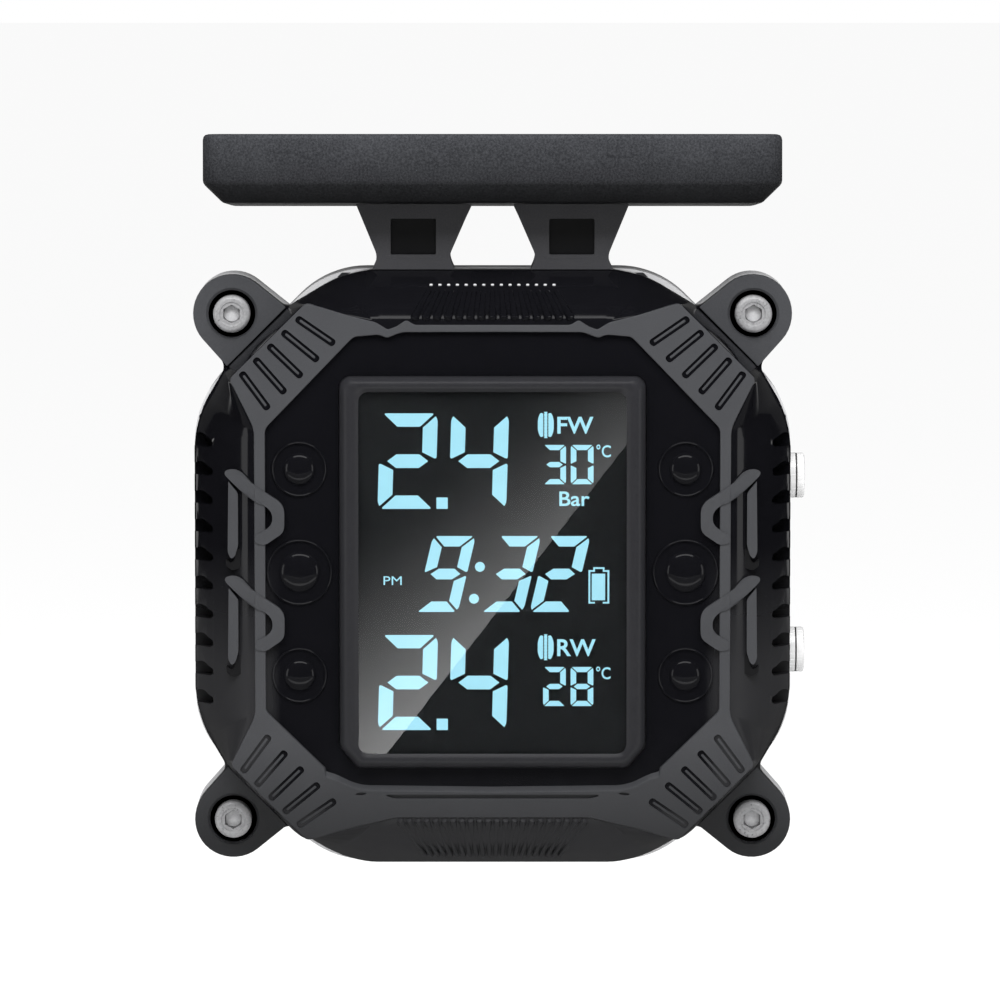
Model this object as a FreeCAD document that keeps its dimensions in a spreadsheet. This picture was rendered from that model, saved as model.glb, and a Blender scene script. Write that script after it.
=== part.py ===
"""Motorcycle tire pressure monitor: a sealed square gauge with a solar tray on two posts.

The model's own frame: +X is the viewer's right, +Z is up, and the display faces -Y.
The origin is the centre of the rear mounting face. "Depth" is the distance in front of
that face, so a point at depth d has Y = -d. All lengths are millimetres.
"""
import FreeCAD
import Part

import math
import os

import Sketcher

Vector = FreeCAD.Vector

# name: (value in mm or degrees, what it measures)
DRIVING_SIZES = {
    "body_half": (36.2, "half width and half height of the square body"),
    "body_chamfer": (16.1, "corner cut of the body before it is rounded"),
    "body_round": (11.5, "radius between the body's flats and its corner cuts"),
    "ear_place_x": (31.6, "bolt centre from the middle, sideways"),
    "ear_place_z": (30.85, "bolt centre from the middle, up and down"),
    "ear_round": (4.7, "radius of an ear's end"),
    "ear_root": (7.0, "how far the ear's straight sides run back into the body"),
    "shell_back": (1.0, "depth of the rear shell's back wall"),
    "band_back": (6.0, "depth where the shell's straight band starts"),
    "parting": (12.9, "depth where the rear shell meets the front cover"),
    "ear_front": (15.4, "depth of the front of the ears"),
    "panel_front": (21.7, "depth of the centre panel"),
    "ridge_front": (22.4, "depth of the raised ridge and corner pads"),
    "bezel_crest": (23.4, "depth of the bezel's crest"),
    "wall": (2.0, "wall of the rear shell"),
    "back_taper": (38.0, "slope of the rear shell's rounded back, degrees"),
    "cover_taper": (43.0, "slope of the front cover's sides, degrees"),
    "cavity_half": (33.0, "half size of the hollow at the parting plane"),
    "cavity_chamfer": (15.0, "corner cut of the hollow"),
    "cavity_front": (20.0, "depth of the front cover's inner face"),
    "glue_gap": (0.05, "adhesive between the bezel's flange and the cover"),
    "seal_thick": (0.6, "thickness of the seal between the mouldings"),
    "ridge_inner_x": (27.5, "inner edge of the side strips"),
    "ridge_inner_z": (29.05, "inner edge of the top and bottom strips"),
    "ridge_diagonal": (45.1, "|X| + |Z| on the inner edge of the corner pads"),
    "pad_diagonal": (55.1, "|X| + |Z| on the outer edge of the corner pads"),
    "pad_half_length": (6.2, "half length of a corner pad, along X or along Z"),
    "slot_diagonal": (50.5, "|X| + |Z| at the middle of the pad slots"),
    "slot_pitch": (1.83, "step of |X| and |Z| from one pad slot to the next"),
    "slot_length": (5.6, "length of a pad slot"),
    "slot_width": (0.9, "width of a pad slot"),
    "slot_depth": (0.6, "depth of a pad slot"),
    "slot_fan": (4.8, "turn from one pad slot to the next, degrees"),
    "notch_pitch": (3.48, "pitch of the side notches"),
    "notch_height": (1.75, "height of a side notch"),
    "notch_inner": (33.9, "inner end of a side notch"),
    "dome_place_x": (23.3, "centre of the panel's domes from the middle"),
    "dome_pitch": (12.5, "pitch of the panel's domes, up and down"),
    "dome_round": (2.12, "radius of an outer dome"),
    "dome_ring": (3.2, "radius of an outer dome's ring"),
    "middle_dome_round": (2.7, "radius of the middle dome"),
    "middle_dome_ring": (3.9, "radius of the middle dome's ring"),
    "dome_rise": (0.7, "height of a dome over the panel"),
    "ring_rise": (0.35, "height of a dome's ring over the panel"),
    "vent_rib_count": (15, "ribs in the top vent, counted"),
    "vent_groove_half": (0.3, "half width of a vent groove"),
    "vent_outer_z": (34.6, "outer end of the vent grooves"),
    "vent_inner_z": (30.6, "inner end of the vent grooves"),
    "vent_outer_pitch": (1.02, "pitch of the vent grooves at their outer ends"),
    "vent_inner_pitch": (1.25, "pitch of the vent grooves at their inner ends"),
    "bezel_half_x": (18.5, "half width of the bezel"),
    "bezel_half_z": (23.7, "half height of the bezel"),
    "bezel_cut": (2.4, "corner cut at the bottom of the bezel"),
    "window_half_x": (16.15, "half width of the display window"),
    "window_half_z": (21.9, "half height of the display window"),
    "window_round": (1.2, "corner radius of the display window"),
    "lens_front": (22.9, "depth of the lens's front face"),
    "lens_thick": (1.2, "thickness of the lens"),
    "lens_margin": (0.7, "how far the lens reaches past the window"),
    "lcd_thick": (1.8, "thickness of the liquid crystal panel"),
    "backlight_thick": (2.0, "thickness of the backlight"),
    "board_front": (12.7, "depth of the board's front face"),
    "board_thick": (1.2, "thickness of the board"),
    "board_half_x": (26.0, "half width of the board"),
    "board_half_z": (28.0, "half height of the board"),
    "boss_place_x": (23.2, "board screw from the middle, sideways"),
    "boss_place_z": (21.0, "board screw from the middle, up and down"),
    "boss_round": (2.3, "radius of a board screw boss"),
    "button_place_z": (10.7, "button centre from the middle, up and down"),
    "button_depth": (9.3, "depth of the button axis"),
    "button_round": (2.75, "radius of a button cap"),
    "button_tip": (38.1, "outer face of a button cap at rest"),
    "button_clearance": (0.08, "radial gap round a button cap"),
    "post_place": (9.6, "post centre from the middle"),
    "post_front": (15.0, "depth of a post's front face"),
    "post_back": (8.0, "depth of a post's rear face"),
    "post_neck_z": (37.8, "height of a post's neck"),
    "tray_bottom": (43.9, "height of the tray's underside over the posts"),
    "tray_height": (8.3, "height of the tray"),
    "tray_half_x": (34.8, "half width of the tray"),
    "tray_front": (24.0, "depth of the tray's front face"),
    "tray_deep": (32.0, "size of the tray from front to back"),
    "tray_cut": (2.4, "chamfer round the tray's underside"),
    "tray_round": (2.5, "radius of the tray's upright corners"),
    "tray_wall": (2.6, "wall of the tray beside the solar panel"),
    "tray_tilt": (3.5, "fall of the tray towards its back, degrees"),
    "insert_place_x": (18.0, "mounting insert from the middle, sideways"),
    "insert_place_z": (12.0, "mounting insert from the middle, up and down"),
    "insert_round": (2.1, "outer radius of a mounting insert"),
    "insert_bore": (1.5, "radius of the M3 thread"),
    "insert_long": (4.2, "length of a mounting insert"),
    "pad_half_x": (24.0, "half width of the rear mounting pad"),
    "pad_half_z": (18.0, "half height of the rear mounting pad"),
    "bolt_head": (2.25, "radius of an M2.5 socket cap head"),
    "bolt_shank": (1.25, "radius of an M2.5 thread"),
    "bolt_long": (6.0, "length of an ear bolt under its head"),
    "counterbore": (2.85, "radius of the recess round an ear bolt"),
    "port_place_x": (0.0, "charge port centre, sideways"),
    "port_half_x": (5.2, "half width of the charge port opening"),
    "port_depth": (9.6, "depth of the charge port's centre"),
    "port_half_deep": (1.85, "half size of the charge port opening, front to back"),
    "flap_half_x": (7.6, "half length of the port cover"),
    "flap_half_deep": (2.3, "half width of the port cover"),
    "flap_thick": (0.9, "thickness of the port cover"),
}

SIDES = (-1, 1)
CORNERS = ((-1, -1), (1, -1), (-1, 1), (1, 1))

document = FreeCAD.newDocument("tire_pressure_monitor")
sheet = document.addObject("Spreadsheet::Sheet", "sizes")
for row, (alias, (number, meaning)) in enumerate(DRIVING_SIZES.items(), start=1):
    sheet.set(f"A{row}", alias)
    sheet.set(f"B{row}", str(number))
    sheet.set(f"C{row}", meaning)
    sheet.setAlias(f"B{row}", alias)
document.recompute()


class Size:
    """A number that remembers the spreadsheet expression that gives it."""

    def __init__(self, number, text):
        self.number = number
        self.text = text

    def combine(self, other, sign, number):
        other_text = other.text if isinstance(other, Size) else repr(other)
        return Size(number, f"({self.text} {sign} {other_text})")

    def __add__(self, other):
        return self.combine(other, "+", self.number + number_of(other))

    def __sub__(self, other):
        return self.combine(other, "-", self.number - number_of(other))

    def __mul__(self, other):
        return self.combine(other, "*", self.number * number_of(other))

    def __truediv__(self, other):
        return self.combine(other, "/", self.number / number_of(other))

    def __radd__(self, other):
        return as_size(other) + self

    def __rsub__(self, other):
        return as_size(other) - self

    def __neg__(self):
        return Size(-self.number, f"(-{self.text})")


def as_size(number):
    """A bare number as a Size."""
    return Size(number, repr(number))


def number_of(value):
    """The plain number of a Size or of a number."""
    return value.number if isinstance(value, Size) else value


def size(alias):
    """The cell called alias, as a Size."""
    return Size(DRIVING_SIZES[alias][0], f"sizes.{alias}")


def bind(target, attribute, value):
    """Set a property to a value, and bind it to the sheet where the value comes from there."""
    if isinstance(value, Size):
        target.setExpression(attribute, value.text)
    elif attribute.startswith("AttachmentOffset") or attribute.startswith("Placement"):
        target.setExpression(attribute, repr(float(value)))
    else:
        setattr(target, attribute, value)


# ---------------------------------------------------------------------------
# PartDesign helpers: a body, its sketches, and the features made from them
# ---------------------------------------------------------------------------

def new_body(label):
    """An empty PartDesign body whose label names its file."""
    body = document.addObject("PartDesign::Body", label)
    body.Label = label
    return body


def origin_feature(body, role):
    """One of a body's own origin planes or axes."""
    for feature in body.Origin.OriginFeatures:
        if feature.Role == role:
            return feature
    raise ValueError(role)


def new_sketch(body, name, offset, role="XZ_Plane"):
    """A sketch parallel to an origin plane. On XZ_Plane the offset is a depth."""
    sketch = body.newObject("Sketcher::SketchObject", name)
    sketch.AttachmentSupport = [(origin_feature(body, role), "")]
    sketch.MapMode = "FlatFace"
    bind(sketch, "AttachmentOffset.Base.z", offset)
    return sketch


def fix_point(sketch, geometry, vertex, place):
    """Hold one sketch point at a place given by two Sizes or numbers."""
    for kind, value in zip(("DistanceX", "DistanceY"), place):
        number = number_of(value)
        index = sketch.addConstraint(Sketcher.Constraint(kind, -1, 1, geometry, vertex, number))
        if isinstance(value, Size):
            sketch.setExpression(f"Constraints[{index}]", value.text)


def draw_polygon(sketch, points):
    """A closed outline of straight edges, each corner held by the sheet."""
    corners = [Vector(number_of(x), number_of(y), 0) for x, y in points]
    first = sketch.GeometryCount
    count = len(corners)
    for index, corner in enumerate(corners):
        sketch.addGeometry(Part.LineSegment(corner, corners[(index + 1) % count]), False)
    for index in range(count):
        following = first + (index + 1) % count
        sketch.addConstraint(Sketcher.Constraint("Coincident", first + index, 2, following, 1))
    for index, point in enumerate(points):
        fix_point(sketch, first + index, 1, point)


def draw_circle(sketch, centre, radius):
    """A circle whose centre and radius are held by the sheet."""
    middle = Vector(number_of(centre[0]), number_of(centre[1]), 0)
    circle = Part.Circle(middle, Vector(0, 0, 1), number_of(radius))
    geometry = sketch.addGeometry(circle, False)
    fix_point(sketch, geometry, 3, centre)
    index = sketch.addConstraint(Sketcher.Constraint("Radius", geometry, number_of(radius)))
    if isinstance(radius, Size):
        sketch.setExpression(f"Constraints[{index}]", radius.text)


def rectangle(centre_x, centre_y, half_x, half_y):
    """The corners of a rectangle, as Sizes or numbers."""
    return [
        (centre_x - half_x, centre_y - half_y),
        (centre_x + half_x, centre_y - half_y),
        (centre_x + half_x, centre_y + half_y),
        (centre_x - half_x, centre_y + half_y),
    ]


def octagon(half_x, half_z, cut):
    """The corners of a rectangle with its four corners cut off at 45 degrees."""
    return [
        (-half_x, -half_z + cut),
        (-half_x + cut, -half_z),
        (half_x - cut, -half_z),
        (half_x, -half_z + cut),
        (half_x, half_z - cut),
        (half_x - cut, half_z),
        (-half_x + cut, half_z),
        (-half_x, half_z - cut),
    ]


def add_pad(body, name, sketch, length, taper=None, reverse=False):
    """Grow a sketch forwards (or backwards when reversed) into solid."""
    feature = body.newObject("PartDesign::Pad", name)
    feature.Profile = sketch
    bind(feature, "Length", length)
    feature.Reversed = reverse
    if taper is not None:
        bind(feature, "TaperAngle", taper)
    sketch.Visibility = False
    return feature


def add_face_pad(body, name, feature, depth, length, taper):
    """Grow the flat face of a feature at a given depth outwards, drawing its sides in."""
    document.recompute()
    place_y = -number_of(depth)
    for index, face in enumerate(feature.Shape.Faces, start=1):
        box = face.BoundBox
        if abs(box.YMin - place_y) < 1e-6 and abs(box.YMax - place_y) < 1e-6:
            pad_feature = body.newObject("PartDesign::Pad", name)
            pad_feature.Profile = (feature, [f"Face{index}"])
            bind(pad_feature, "Length", length)
            bind(pad_feature, "TaperAngle", taper)
            return pad_feature
    raise ValueError(f"{name} has no face at depth {depth}")


def add_pocket(body, name, sketch, length, taper=None, reverse=False):
    """Cut a sketch backwards (or forwards when reversed) out of the solid."""
    feature = body.newObject("PartDesign::Pocket", name)
    feature.Profile = sketch
    bind(feature, "Length", length)
    feature.Reversed = reverse
    if taper is not None:
        bind(feature, "TaperAngle", taper)
    sketch.Visibility = False
    return feature


def matching_edges(feature, wanted):
    """The names of the edges of a feature's shape for which wanted(edge) is true."""
    document.recompute()
    edges = feature.Shape.Edges
    return [f"Edge{index}" for index, edge in enumerate(edges, start=1) if wanted(edge)]


def runs_along(edge, axis):
    """True where an edge is straight and parallel to one of the letters X, Y, Z."""
    if edge.Curve.TypeId != "Part::GeomLine":
        return False
    return abs(getattr(edge.tangentAt(edge.FirstParameter), axis.lower())) > 0.999


def add_fillet(body, name, feature, radius, wanted):
    """Round the edges of a feature for which wanted(edge) is true."""
    edges = matching_edges(feature, wanted)
    fillet = body.newObject("PartDesign::Fillet", name)
    fillet.Base = (feature, edges)
    bind(fillet, "Radius", radius)
    return fillet


def add_chamfer(body, name, feature, length, wanted):
    """Chamfer the edges of a feature for which wanted(edge) is true."""
    edges = matching_edges(feature, wanted)
    chamfer = body.newObject("PartDesign::Chamfer", name)
    chamfer.Base = (feature, edges)
    bind(chamfer, "Size", length)
    return chamfer


# ---------------------------------------------------------------------------
# Part helpers: primitives and booleans whose sizes are bound to the sheet
# ---------------------------------------------------------------------------

def place(target, position):
    """Bind the three parts of an object's position."""
    for letter, value in zip("xyz", position):
        bind(target, f"Placement.Base.{letter}", value)


def add_box(name, low, lengths):
    """A box from its lowest corner and its three lengths."""
    box = document.addObject("Part::Box", name)
    for attribute, value in zip(("Length", "Width", "Height"), lengths):
        bind(box, attribute, value)
    place(box, low)
    return box


TURNS = {
    "+X": FreeCAD.Rotation(Vector(0, 1, 0), 90),
    "-Y": FreeCAD.Rotation(Vector(1, 0, 0), 90),
    "+Z": FreeCAD.Rotation(),
}


def add_cylinder(name, start, axis, radius, length):
    """A cylinder from the centre of one end, along +X, -Y (forwards) or +Z."""
    cylinder = document.addObject("Part::Cylinder", name)
    bind(cylinder, "Radius", radius)
    bind(cylinder, "Height", length)
    cylinder.Placement = FreeCAD.Placement(Vector(), TURNS[axis])
    place(cylinder, start)
    return cylinder


def join(label, pieces):
    """Fuse pieces into one object, or group them where they lie apart."""
    fusion = document.addObject("Part::MultiFuse", label)
    fusion.Label = label
    fusion.Shapes = pieces
    return fusion


def cut(label, base, tool):
    """Take one object away from another."""
    difference = document.addObject("Part::Cut", label)
    difference.Label = label
    difference.Base = base
    difference.Tool = tool
    return difference


def group(label, pieces):
    """Keep identical separate pieces together under one name."""
    compound = document.addObject("Part::Compound", label)
    compound.Label = label
    compound.Links = pieces
    return compound


# ---------------------------------------------------------------------------
# The body's outline with its four bolt ears
# ---------------------------------------------------------------------------

def body_outline(grow=0.0):
    """The octagon of the square body."""
    half = size("body_half") + grow
    return octagon(half, half, size("body_chamfer"))


def ear_web(side, level):
    """The four corners of the web between an ear's round end and the body."""
    upper_side = (0.781, 0.625)   # direction of the ear's upper edge, away from the body
    lower_side = (0.663, 0.749)   # direction of its lower edge
    centre_x = size("ear_place_x")
    centre_z = size("ear_place_z")
    reach = size("ear_round")
    root = size("ear_root")
    upper = (centre_x - reach * upper_side[1], centre_z + reach * upper_side[0])
    lower = (centre_x + reach * lower_side[1], centre_z - reach * lower_side[0])
    upper_root = (upper[0] - root * upper_side[0], upper[1] - root * upper_side[1])
    lower_root = (lower[0] - root * lower_side[0], lower[1] - root * lower_side[1])
    corners = [upper, upper_root, lower_root, lower]
    return [(x * side, z * level) for x, z in corners]


def add_eared_plate(body, depth, thick, sloped_depth, slope_long, taper):
    """The body's plate with rounded corners, one sloping side, and its four ears."""
    outline = new_sketch(body, "body_outline", depth)
    draw_polygon(outline, body_outline())
    plate = add_pad(body, "body_plate", outline, thick)
    rounded = add_fillet(body, "body_rounding", plate, size("body_round"),
                         lambda edge: runs_along(edge, "Y"))
    add_face_pad(body, "body_slope", rounded, sloped_depth, slope_long, taper)
    for index, (side, level) in enumerate(CORNERS):
        web = new_sketch(body, f"ear_web_{index}", depth)
        draw_polygon(web, ear_web(side, level))
        add_pad(body, f"ear_web_pad_{index}", web, thick)
    ends = new_sketch(body, "ear_ends", depth)
    for side, level in CORNERS:
        draw_circle(ends, ear_centre(side, level), size("ear_round"))
    add_pad(body, "ear_end_pads", ends, thick)


def ear_centre(side, level):
    """The centre of one ear's bolt."""
    return (size("ear_place_x") * side, size("ear_place_z") * level)


# ---------------------------------------------------------------------------
# Front cover
# ---------------------------------------------------------------------------

def pad_corner_points(side, level):
    """A corner pad's outline: a long plate lying across the body's corner."""
    inner = size("ridge_diagonal") / 2
    outer = size("pad_diagonal") / 2
    half = size("pad_half_length")
    short = half * 0.74
    corners = [
        (inner - half, inner + half),
        (outer - short, outer + short),
        (outer + short, outer - short),
        (inner + half, inner - half),
    ]
    return [(x * side, z * level) for x, z in corners]


def slot_corner_points(side, level, step):
    """One slot of a corner pad. Step runs from -2, the top one, to 2 along the pad."""
    angle = math.radians(44 + step * DRIVING_SIZES["slot_fan"][0])
    along = (math.cos(angle), math.sin(angle))
    centre_x = size("slot_diagonal") / 2 + size("slot_pitch") * step
    centre_z = size("slot_diagonal") / 2 - size("slot_pitch") * step
    reach = size("slot_length") / 2
    half_width = size("slot_width") / 2
    corners = []
    for end, edge in ((-1, -1), (1, -1), (1, 1), (-1, 1)):
        x = centre_x + reach * (end * along[0]) - half_width * (edge * along[1])
        z = centre_z + reach * (end * along[1]) + half_width * (edge * along[0])
        corners.append((x * side, z * level))
    return corners


def add_corner_pads(body):
    """The four raised corner pads with their fanned slots."""
    low = size("ear_front") - 1.0
    rise = size("ridge_front") - low
    for index, (side, level) in enumerate(CORNERS):
        outline = new_sketch(body, f"corner_pad_{index}", low)
        draw_polygon(outline, pad_corner_points(side, level))
        add_pad(body, f"corner_pad_solid_{index}", outline, rise)
        slots = new_sketch(body, f"corner_slots_{index}", size("ridge_front"))
        for step in range(-2, 3):
            draw_polygon(slots, slot_corner_points(side, level, step))
        add_pocket(body, f"corner_slot_cuts_{index}", slots, size("slot_depth"))


def add_side_notches(body):
    """Ten notches down each side edge of the cover."""
    for index, side in enumerate(SIDES):
        notches = new_sketch(body, f"notches_{index}", size("ridge_front"))
        middle_x = (size("notch_inner") + size("body_half") + 1.0) / 2
        half_x = (size("body_half") + 1.0 - size("notch_inner")) / 2
        for step in range(10):
            centre_z = size("notch_pitch") * (step - 4.5)
            corners = rectangle(middle_x, centre_z, half_x, size("notch_height") / 2)
            draw_polygon(notches, [(x * side, z) for x, z in corners])
        reach = size("ridge_front") - size("ear_front") + 1.0
        add_pocket(body, f"notch_cuts_{index}", notches, reach)


def add_vents(body):
    """Fanned ribs on the sloping faces over and under the panel."""
    ribs = int(DRIVING_SIZES["vent_rib_count"][0])
    for name, level in (("top", 1), ("bottom", -1)):
        grooves = new_sketch(body, f"{name}_vent", size("ridge_front"))
        for step in range(ribs - 1):
            place_in_row = step - (ribs - 2) / 2
            outer_x = size("vent_outer_pitch") * place_in_row
            inner_x = size("vent_inner_pitch") * place_in_row
            half = size("vent_groove_half")
            corners = [
                (outer_x - half, size("vent_outer_z")),
                (outer_x + half, size("vent_outer_z")),
                (inner_x + half, size("vent_inner_z")),
                (inner_x - half, size("vent_inner_z")),
            ]
            draw_polygon(grooves, [(x, z * level) for x, z in corners])
        floor_depth = size("ridge_front") - size("ear_front")
        add_pocket(body, f"{name}_vent_cuts", grooves, floor_depth - 1.2)


def add_domes(body):
    """Three domes, each in its own ring, on either side of the display."""
    groups = (
        ("outer", (-1, 1), "dome_round", "dome_ring"),
        ("middle", (0,), "middle_dome_round", "middle_dome_ring"),
    )
    for name, levels, dome, ring in groups:
        rings = new_sketch(body, f"{name}_rings", size("panel_front"))
        grooves = new_sketch(body, f"{name}_dome_grooves", size("panel_front") + size("ring_rise"))
        domes = new_sketch(body, f"{name}_domes", size("panel_front") - 0.5)
        for side in SIDES:
            for level in levels:
                centre = (size("dome_place_x") * side, size("dome_pitch") * level)
                draw_circle(rings, centre, size(ring))
                draw_circle(grooves, centre, size(ring) - 0.55)
                draw_circle(domes, centre, size(dome))
        add_pad(body, f"{name}_ring_pads", rings, size("ring_rise"))
        add_pocket(body, f"{name}_groove_cuts", grooves, size("ring_rise") + 0.4)
        add_pad(body, f"{name}_dome_pads", domes, size("dome_rise") + 0.5, taper=-20)


def make_front_cover():
    """The black front moulding, from the parting plane to the ridges."""
    body = new_body("front_cover")
    add_eared_plate(body, size("parting"), size("ear_front") - size("parting"),
                    size("ear_front"), size("ridge_front") - size("ear_front"),
                    -size("cover_taper"))
    add_corner_pads(body)
    recess = new_sketch(body, "panel_recess", size("ridge_front"))
    draw_polygon(recess, panel_outline())
    add_pocket(body, "panel_recess_cut", recess, size("ridge_front") - size("panel_front"))
    hollow = new_sketch(body, "hollow", size("parting"))
    draw_polygon(hollow, octagon(size("cavity_half"), size("cavity_half"), size("cavity_chamfer")))
    reach = size("cavity_front") - size("parting")
    add_pocket(body, "hollow_cut", hollow, reach, taper=-size("cover_taper"), reverse=True)
    bosses = new_sketch(body, "board_bosses", size("board_front"))
    for side, level in CORNERS:
        draw_circle(bosses, boss_centre(side, level), size("boss_round"))
    add_pad(body, "board_boss_pads", bosses, size("cavity_front") - size("board_front") + 0.5)
    pilots = new_sketch(body, "board_pilots", size("board_front"))
    for side, level in CORNERS:
        draw_circle(pilots, boss_centre(side, level), 0.85)
    add_pocket(body, "board_pilot_cuts", pilots, 5.5, reverse=True)
    window = new_sketch(body, "bezel_opening", size("bezel_crest"))
    draw_polygon(window, bezel_outline(0.05))
    add_pocket(body, "bezel_opening_cut", window, 5.0)
    add_domes(body)
    add_side_notches(body)
    add_vents(body)
    bolts = new_sketch(body, "bolt_holes", size("ear_front") + 1.0)
    sinks = new_sketch(body, "counterbores", size("ear_front") + 8.0)
    for side, level in CORNERS:
        draw_circle(bolts, ear_centre(side, level), size("bolt_shank") + 0.15)
        draw_circle(sinks, ear_centre(side, level), size("counterbore"))
    add_pocket(body, "bolt_hole_cuts", bolts, 5.0)
    add_pocket(body, "counterbore_cuts", sinks, 8.0 + 1.5)
    return body


def panel_outline():
    """The centre panel's outline inside the ridges."""
    half_x = size("ridge_inner_x")
    half_z = size("ridge_inner_z")
    diagonal = size("ridge_diagonal")
    right = [(half_x, diagonal - half_x), (diagonal - half_z, half_z)]
    left = [(-x, z) for x, z in reversed(right)]
    top = right + left
    return top + [(x, -z) for x, z in reversed(top)]


def bezel_outline(grow):
    """The bezel's outline, cut at its two bottom corners."""
    half_x = size("bezel_half_x") + grow
    half_z = size("bezel_half_z") + grow
    cut_size = size("bezel_cut")
    return [
        (-half_x, half_z),
        (-half_x, -half_z + cut_size),
        (-half_x + cut_size, -half_z),
        (half_x - cut_size, -half_z),
        (half_x, -half_z + cut_size),
        (half_x, half_z),
    ]


def boss_centre(side, level):
    """The centre of one board screw."""
    return (size("boss_place_x") * side, size("boss_place_z") * level)


# ---------------------------------------------------------------------------
# Rear shell and what is set into it
# ---------------------------------------------------------------------------

def make_rear_shell():
    """The silver rear moulding with its straight band, sloped back and mounting pad."""
    body = new_body("rear_shell")
    add_eared_plate(body, size("band_back"), size("parting") - size("band_back"),
                    size("band_back"), size("band_back") - size("shell_back"),
                    -size("back_taper"))
    foot = new_sketch(body, "mounting_pad", 0.0)
    draw_polygon(foot, octagon(size("pad_half_x"), size("pad_half_z"), 3.0))
    add_pad(body, "mounting_pad_solid", foot, size("shell_back") + 0.5)
    hollow = new_sketch(body, "hollow", size("parting"))
    half = size("body_half") - size("wall")
    draw_polygon(hollow, octagon(half, half, size("body_chamfer")))
    straight = size("parting") - size("band_back")
    add_pocket(body, "hollow_cut", hollow, straight)
    deep = new_sketch(body, "back_hollow", size("band_back"))
    half_back = size("body_half") - size("wall") - 3.0
    draw_polygon(deep, octagon(half_back, half_back, size("body_chamfer")))
    add_pocket(body, "back_hollow_cut", deep, size("band_back") - size("shell_back") - size("wall"),
               taper=-25)
    add_shell_bosses(body)
    add_shell_openings(body)
    return body


def add_shell_bosses(body):
    """Round bosses that hold the four mounting inserts."""
    bosses = new_sketch(body, "insert_bosses", size("shell_back") + 1.0)
    for side, level in CORNERS:
        draw_circle(bosses, insert_centre(side, level), size("insert_round") + 1.5)
    add_pad(body, "insert_boss_pads", bosses, size("insert_long") - size("shell_back") + 0.2)
    holes = new_sketch(body, "insert_holes", 0.0)
    for side, level in CORNERS:
        draw_circle(holes, insert_centre(side, level), size("insert_round"))
    add_pocket(body, "insert_hole_cuts", holes, size("insert_long"), reverse=True)


def insert_centre(side, level):
    """The centre of one mounting insert."""
    return (size("insert_place_x") * side, size("insert_place_z") * level)


def add_shell_openings(body):
    """Bolt holes, button bores, the charge port, post holes and the seal's groove."""
    bolts = new_sketch(body, "nut_holes", size("parting"))
    for side, level in CORNERS:
        draw_circle(bolts, ear_centre(side, level), 1.9)
    add_pocket(body, "nut_hole_cuts", bolts, 5.5)

    bores = new_sketch(body, "button_bores", size("body_half") + 2.0, "YZ_Plane")
    for level in SIDES:
        centre = (-size("button_depth"), size("button_place_z") * level)
        draw_circle(bores, centre, size("button_round") + size("button_clearance"))
    add_pocket(body, "button_bore_cuts", bores, size("wall") + 4.0)

    port = new_sketch(body, "port_opening", -size("body_half") - 1.0, "XY_Plane")
    depth = size("port_depth")
    draw_polygon(port, rectangle(size("port_place_x"), -depth, size("port_half_x"),
                                 size("port_half_deep")))
    add_pocket(body, "port_opening_cut", port, size("wall") + 2.0, reverse=True)
    seat = new_sketch(body, "flap_seat", -size("body_half") - 1.0, "XY_Plane")
    draw_polygon(seat, rectangle(size("port_place_x") - 1.7, -depth, size("flap_half_x") + 1.9,
                                 size("flap_half_deep") + 0.2))
    add_pocket(body, "flap_seat_cut", seat, size("flap_thick") + 1.1, reverse=True)

    posts = new_sketch(body, "post_holes", size("body_half") - 3.0, "XY_Plane")
    for side in SIDES:
        draw_circle(posts, (post_screw_x(side), -lower_screw_depth()), 1.4)
    draw_circle(posts, (lead_x(), -lead_depth()), 1.2)
    add_pocket(body, "post_hole_cuts", posts, 5.0, reverse=True)

    groove = new_sketch(body, "seal_groove", size("parting"))
    draw_polygon(groove, seal_outline(0.5))
    draw_polygon(groove, seal_outline(-0.5))
    add_pocket(body, "seal_groove_cut", groove, size("seal_thick"))


def seal_outline(offset):
    """The seal's path, half way across the wall, moved out by an offset."""
    half = size("body_half") - size("wall") / 2 + offset
    return octagon(half, half, size("body_chamfer") + (1.0 + offset * 0.586))


def make_cover_seal():
    """The silicone ring between the two mouldings."""
    body = new_body("cover_seal")
    outline = new_sketch(body, "ring", size("parting") - size("seal_thick"))
    draw_polygon(outline, seal_outline(0.5))
    draw_polygon(outline, seal_outline(-0.5))
    add_pad(body, "ring_solid", outline, size("seal_thick"))
    return body


def make_mount_inserts():
    """Four brass M3 inserts, open at the mounting face."""
    pieces = []
    for index, (side, level) in enumerate(CORNERS):
        x, z = insert_centre(side, level)
        outer = add_cylinder(f"insert_outer_{index}", (x, 0.0, z), "-Y", size("insert_round"),
                             size("insert_long"))
        bore = add_cylinder(f"insert_bore_{index}", (x, 0.0, z), "-Y", size("insert_bore"),
                            size("insert_long"))
        pieces.append(cut(f"insert_{index}", outer, bore))
    return group("mount_inserts", pieces)


def make_ear_bolts():
    """Four M2.5 socket cap bolts that hold the cover to the shell."""
    pieces = []
    seat = size("ear_front") - 1.5
    for index, (side, level) in enumerate(CORNERS):
        x, z = ear_centre(side, level)
        head = add_cylinder(f"bolt_head_{index}", (x, -seat, z), "-Y", size("bolt_head"), 2.5)
        shank = add_cylinder(f"bolt_shank_{index}", (x, -seat + size("bolt_long"), z), "-Y",
                             size("bolt_shank"), size("bolt_long"))
        bolt = join(f"bolt_blank_{index}", [head, shank])
        socket = document.addObject("Part::Prism", f"bolt_socket_{index}")
        socket.Polygon = 6
        socket.Circumradius = 1.0 / math.cos(math.radians(30))
        socket.Height = 1.3
        socket.Placement = FreeCAD.Placement(Vector(), TURNS["-Y"])
        place(socket, (x, -seat - 1.2, z))
        pieces.append(cut(f"bolt_{index}", bolt, socket))
    return group("ear_bolts", pieces)


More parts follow.
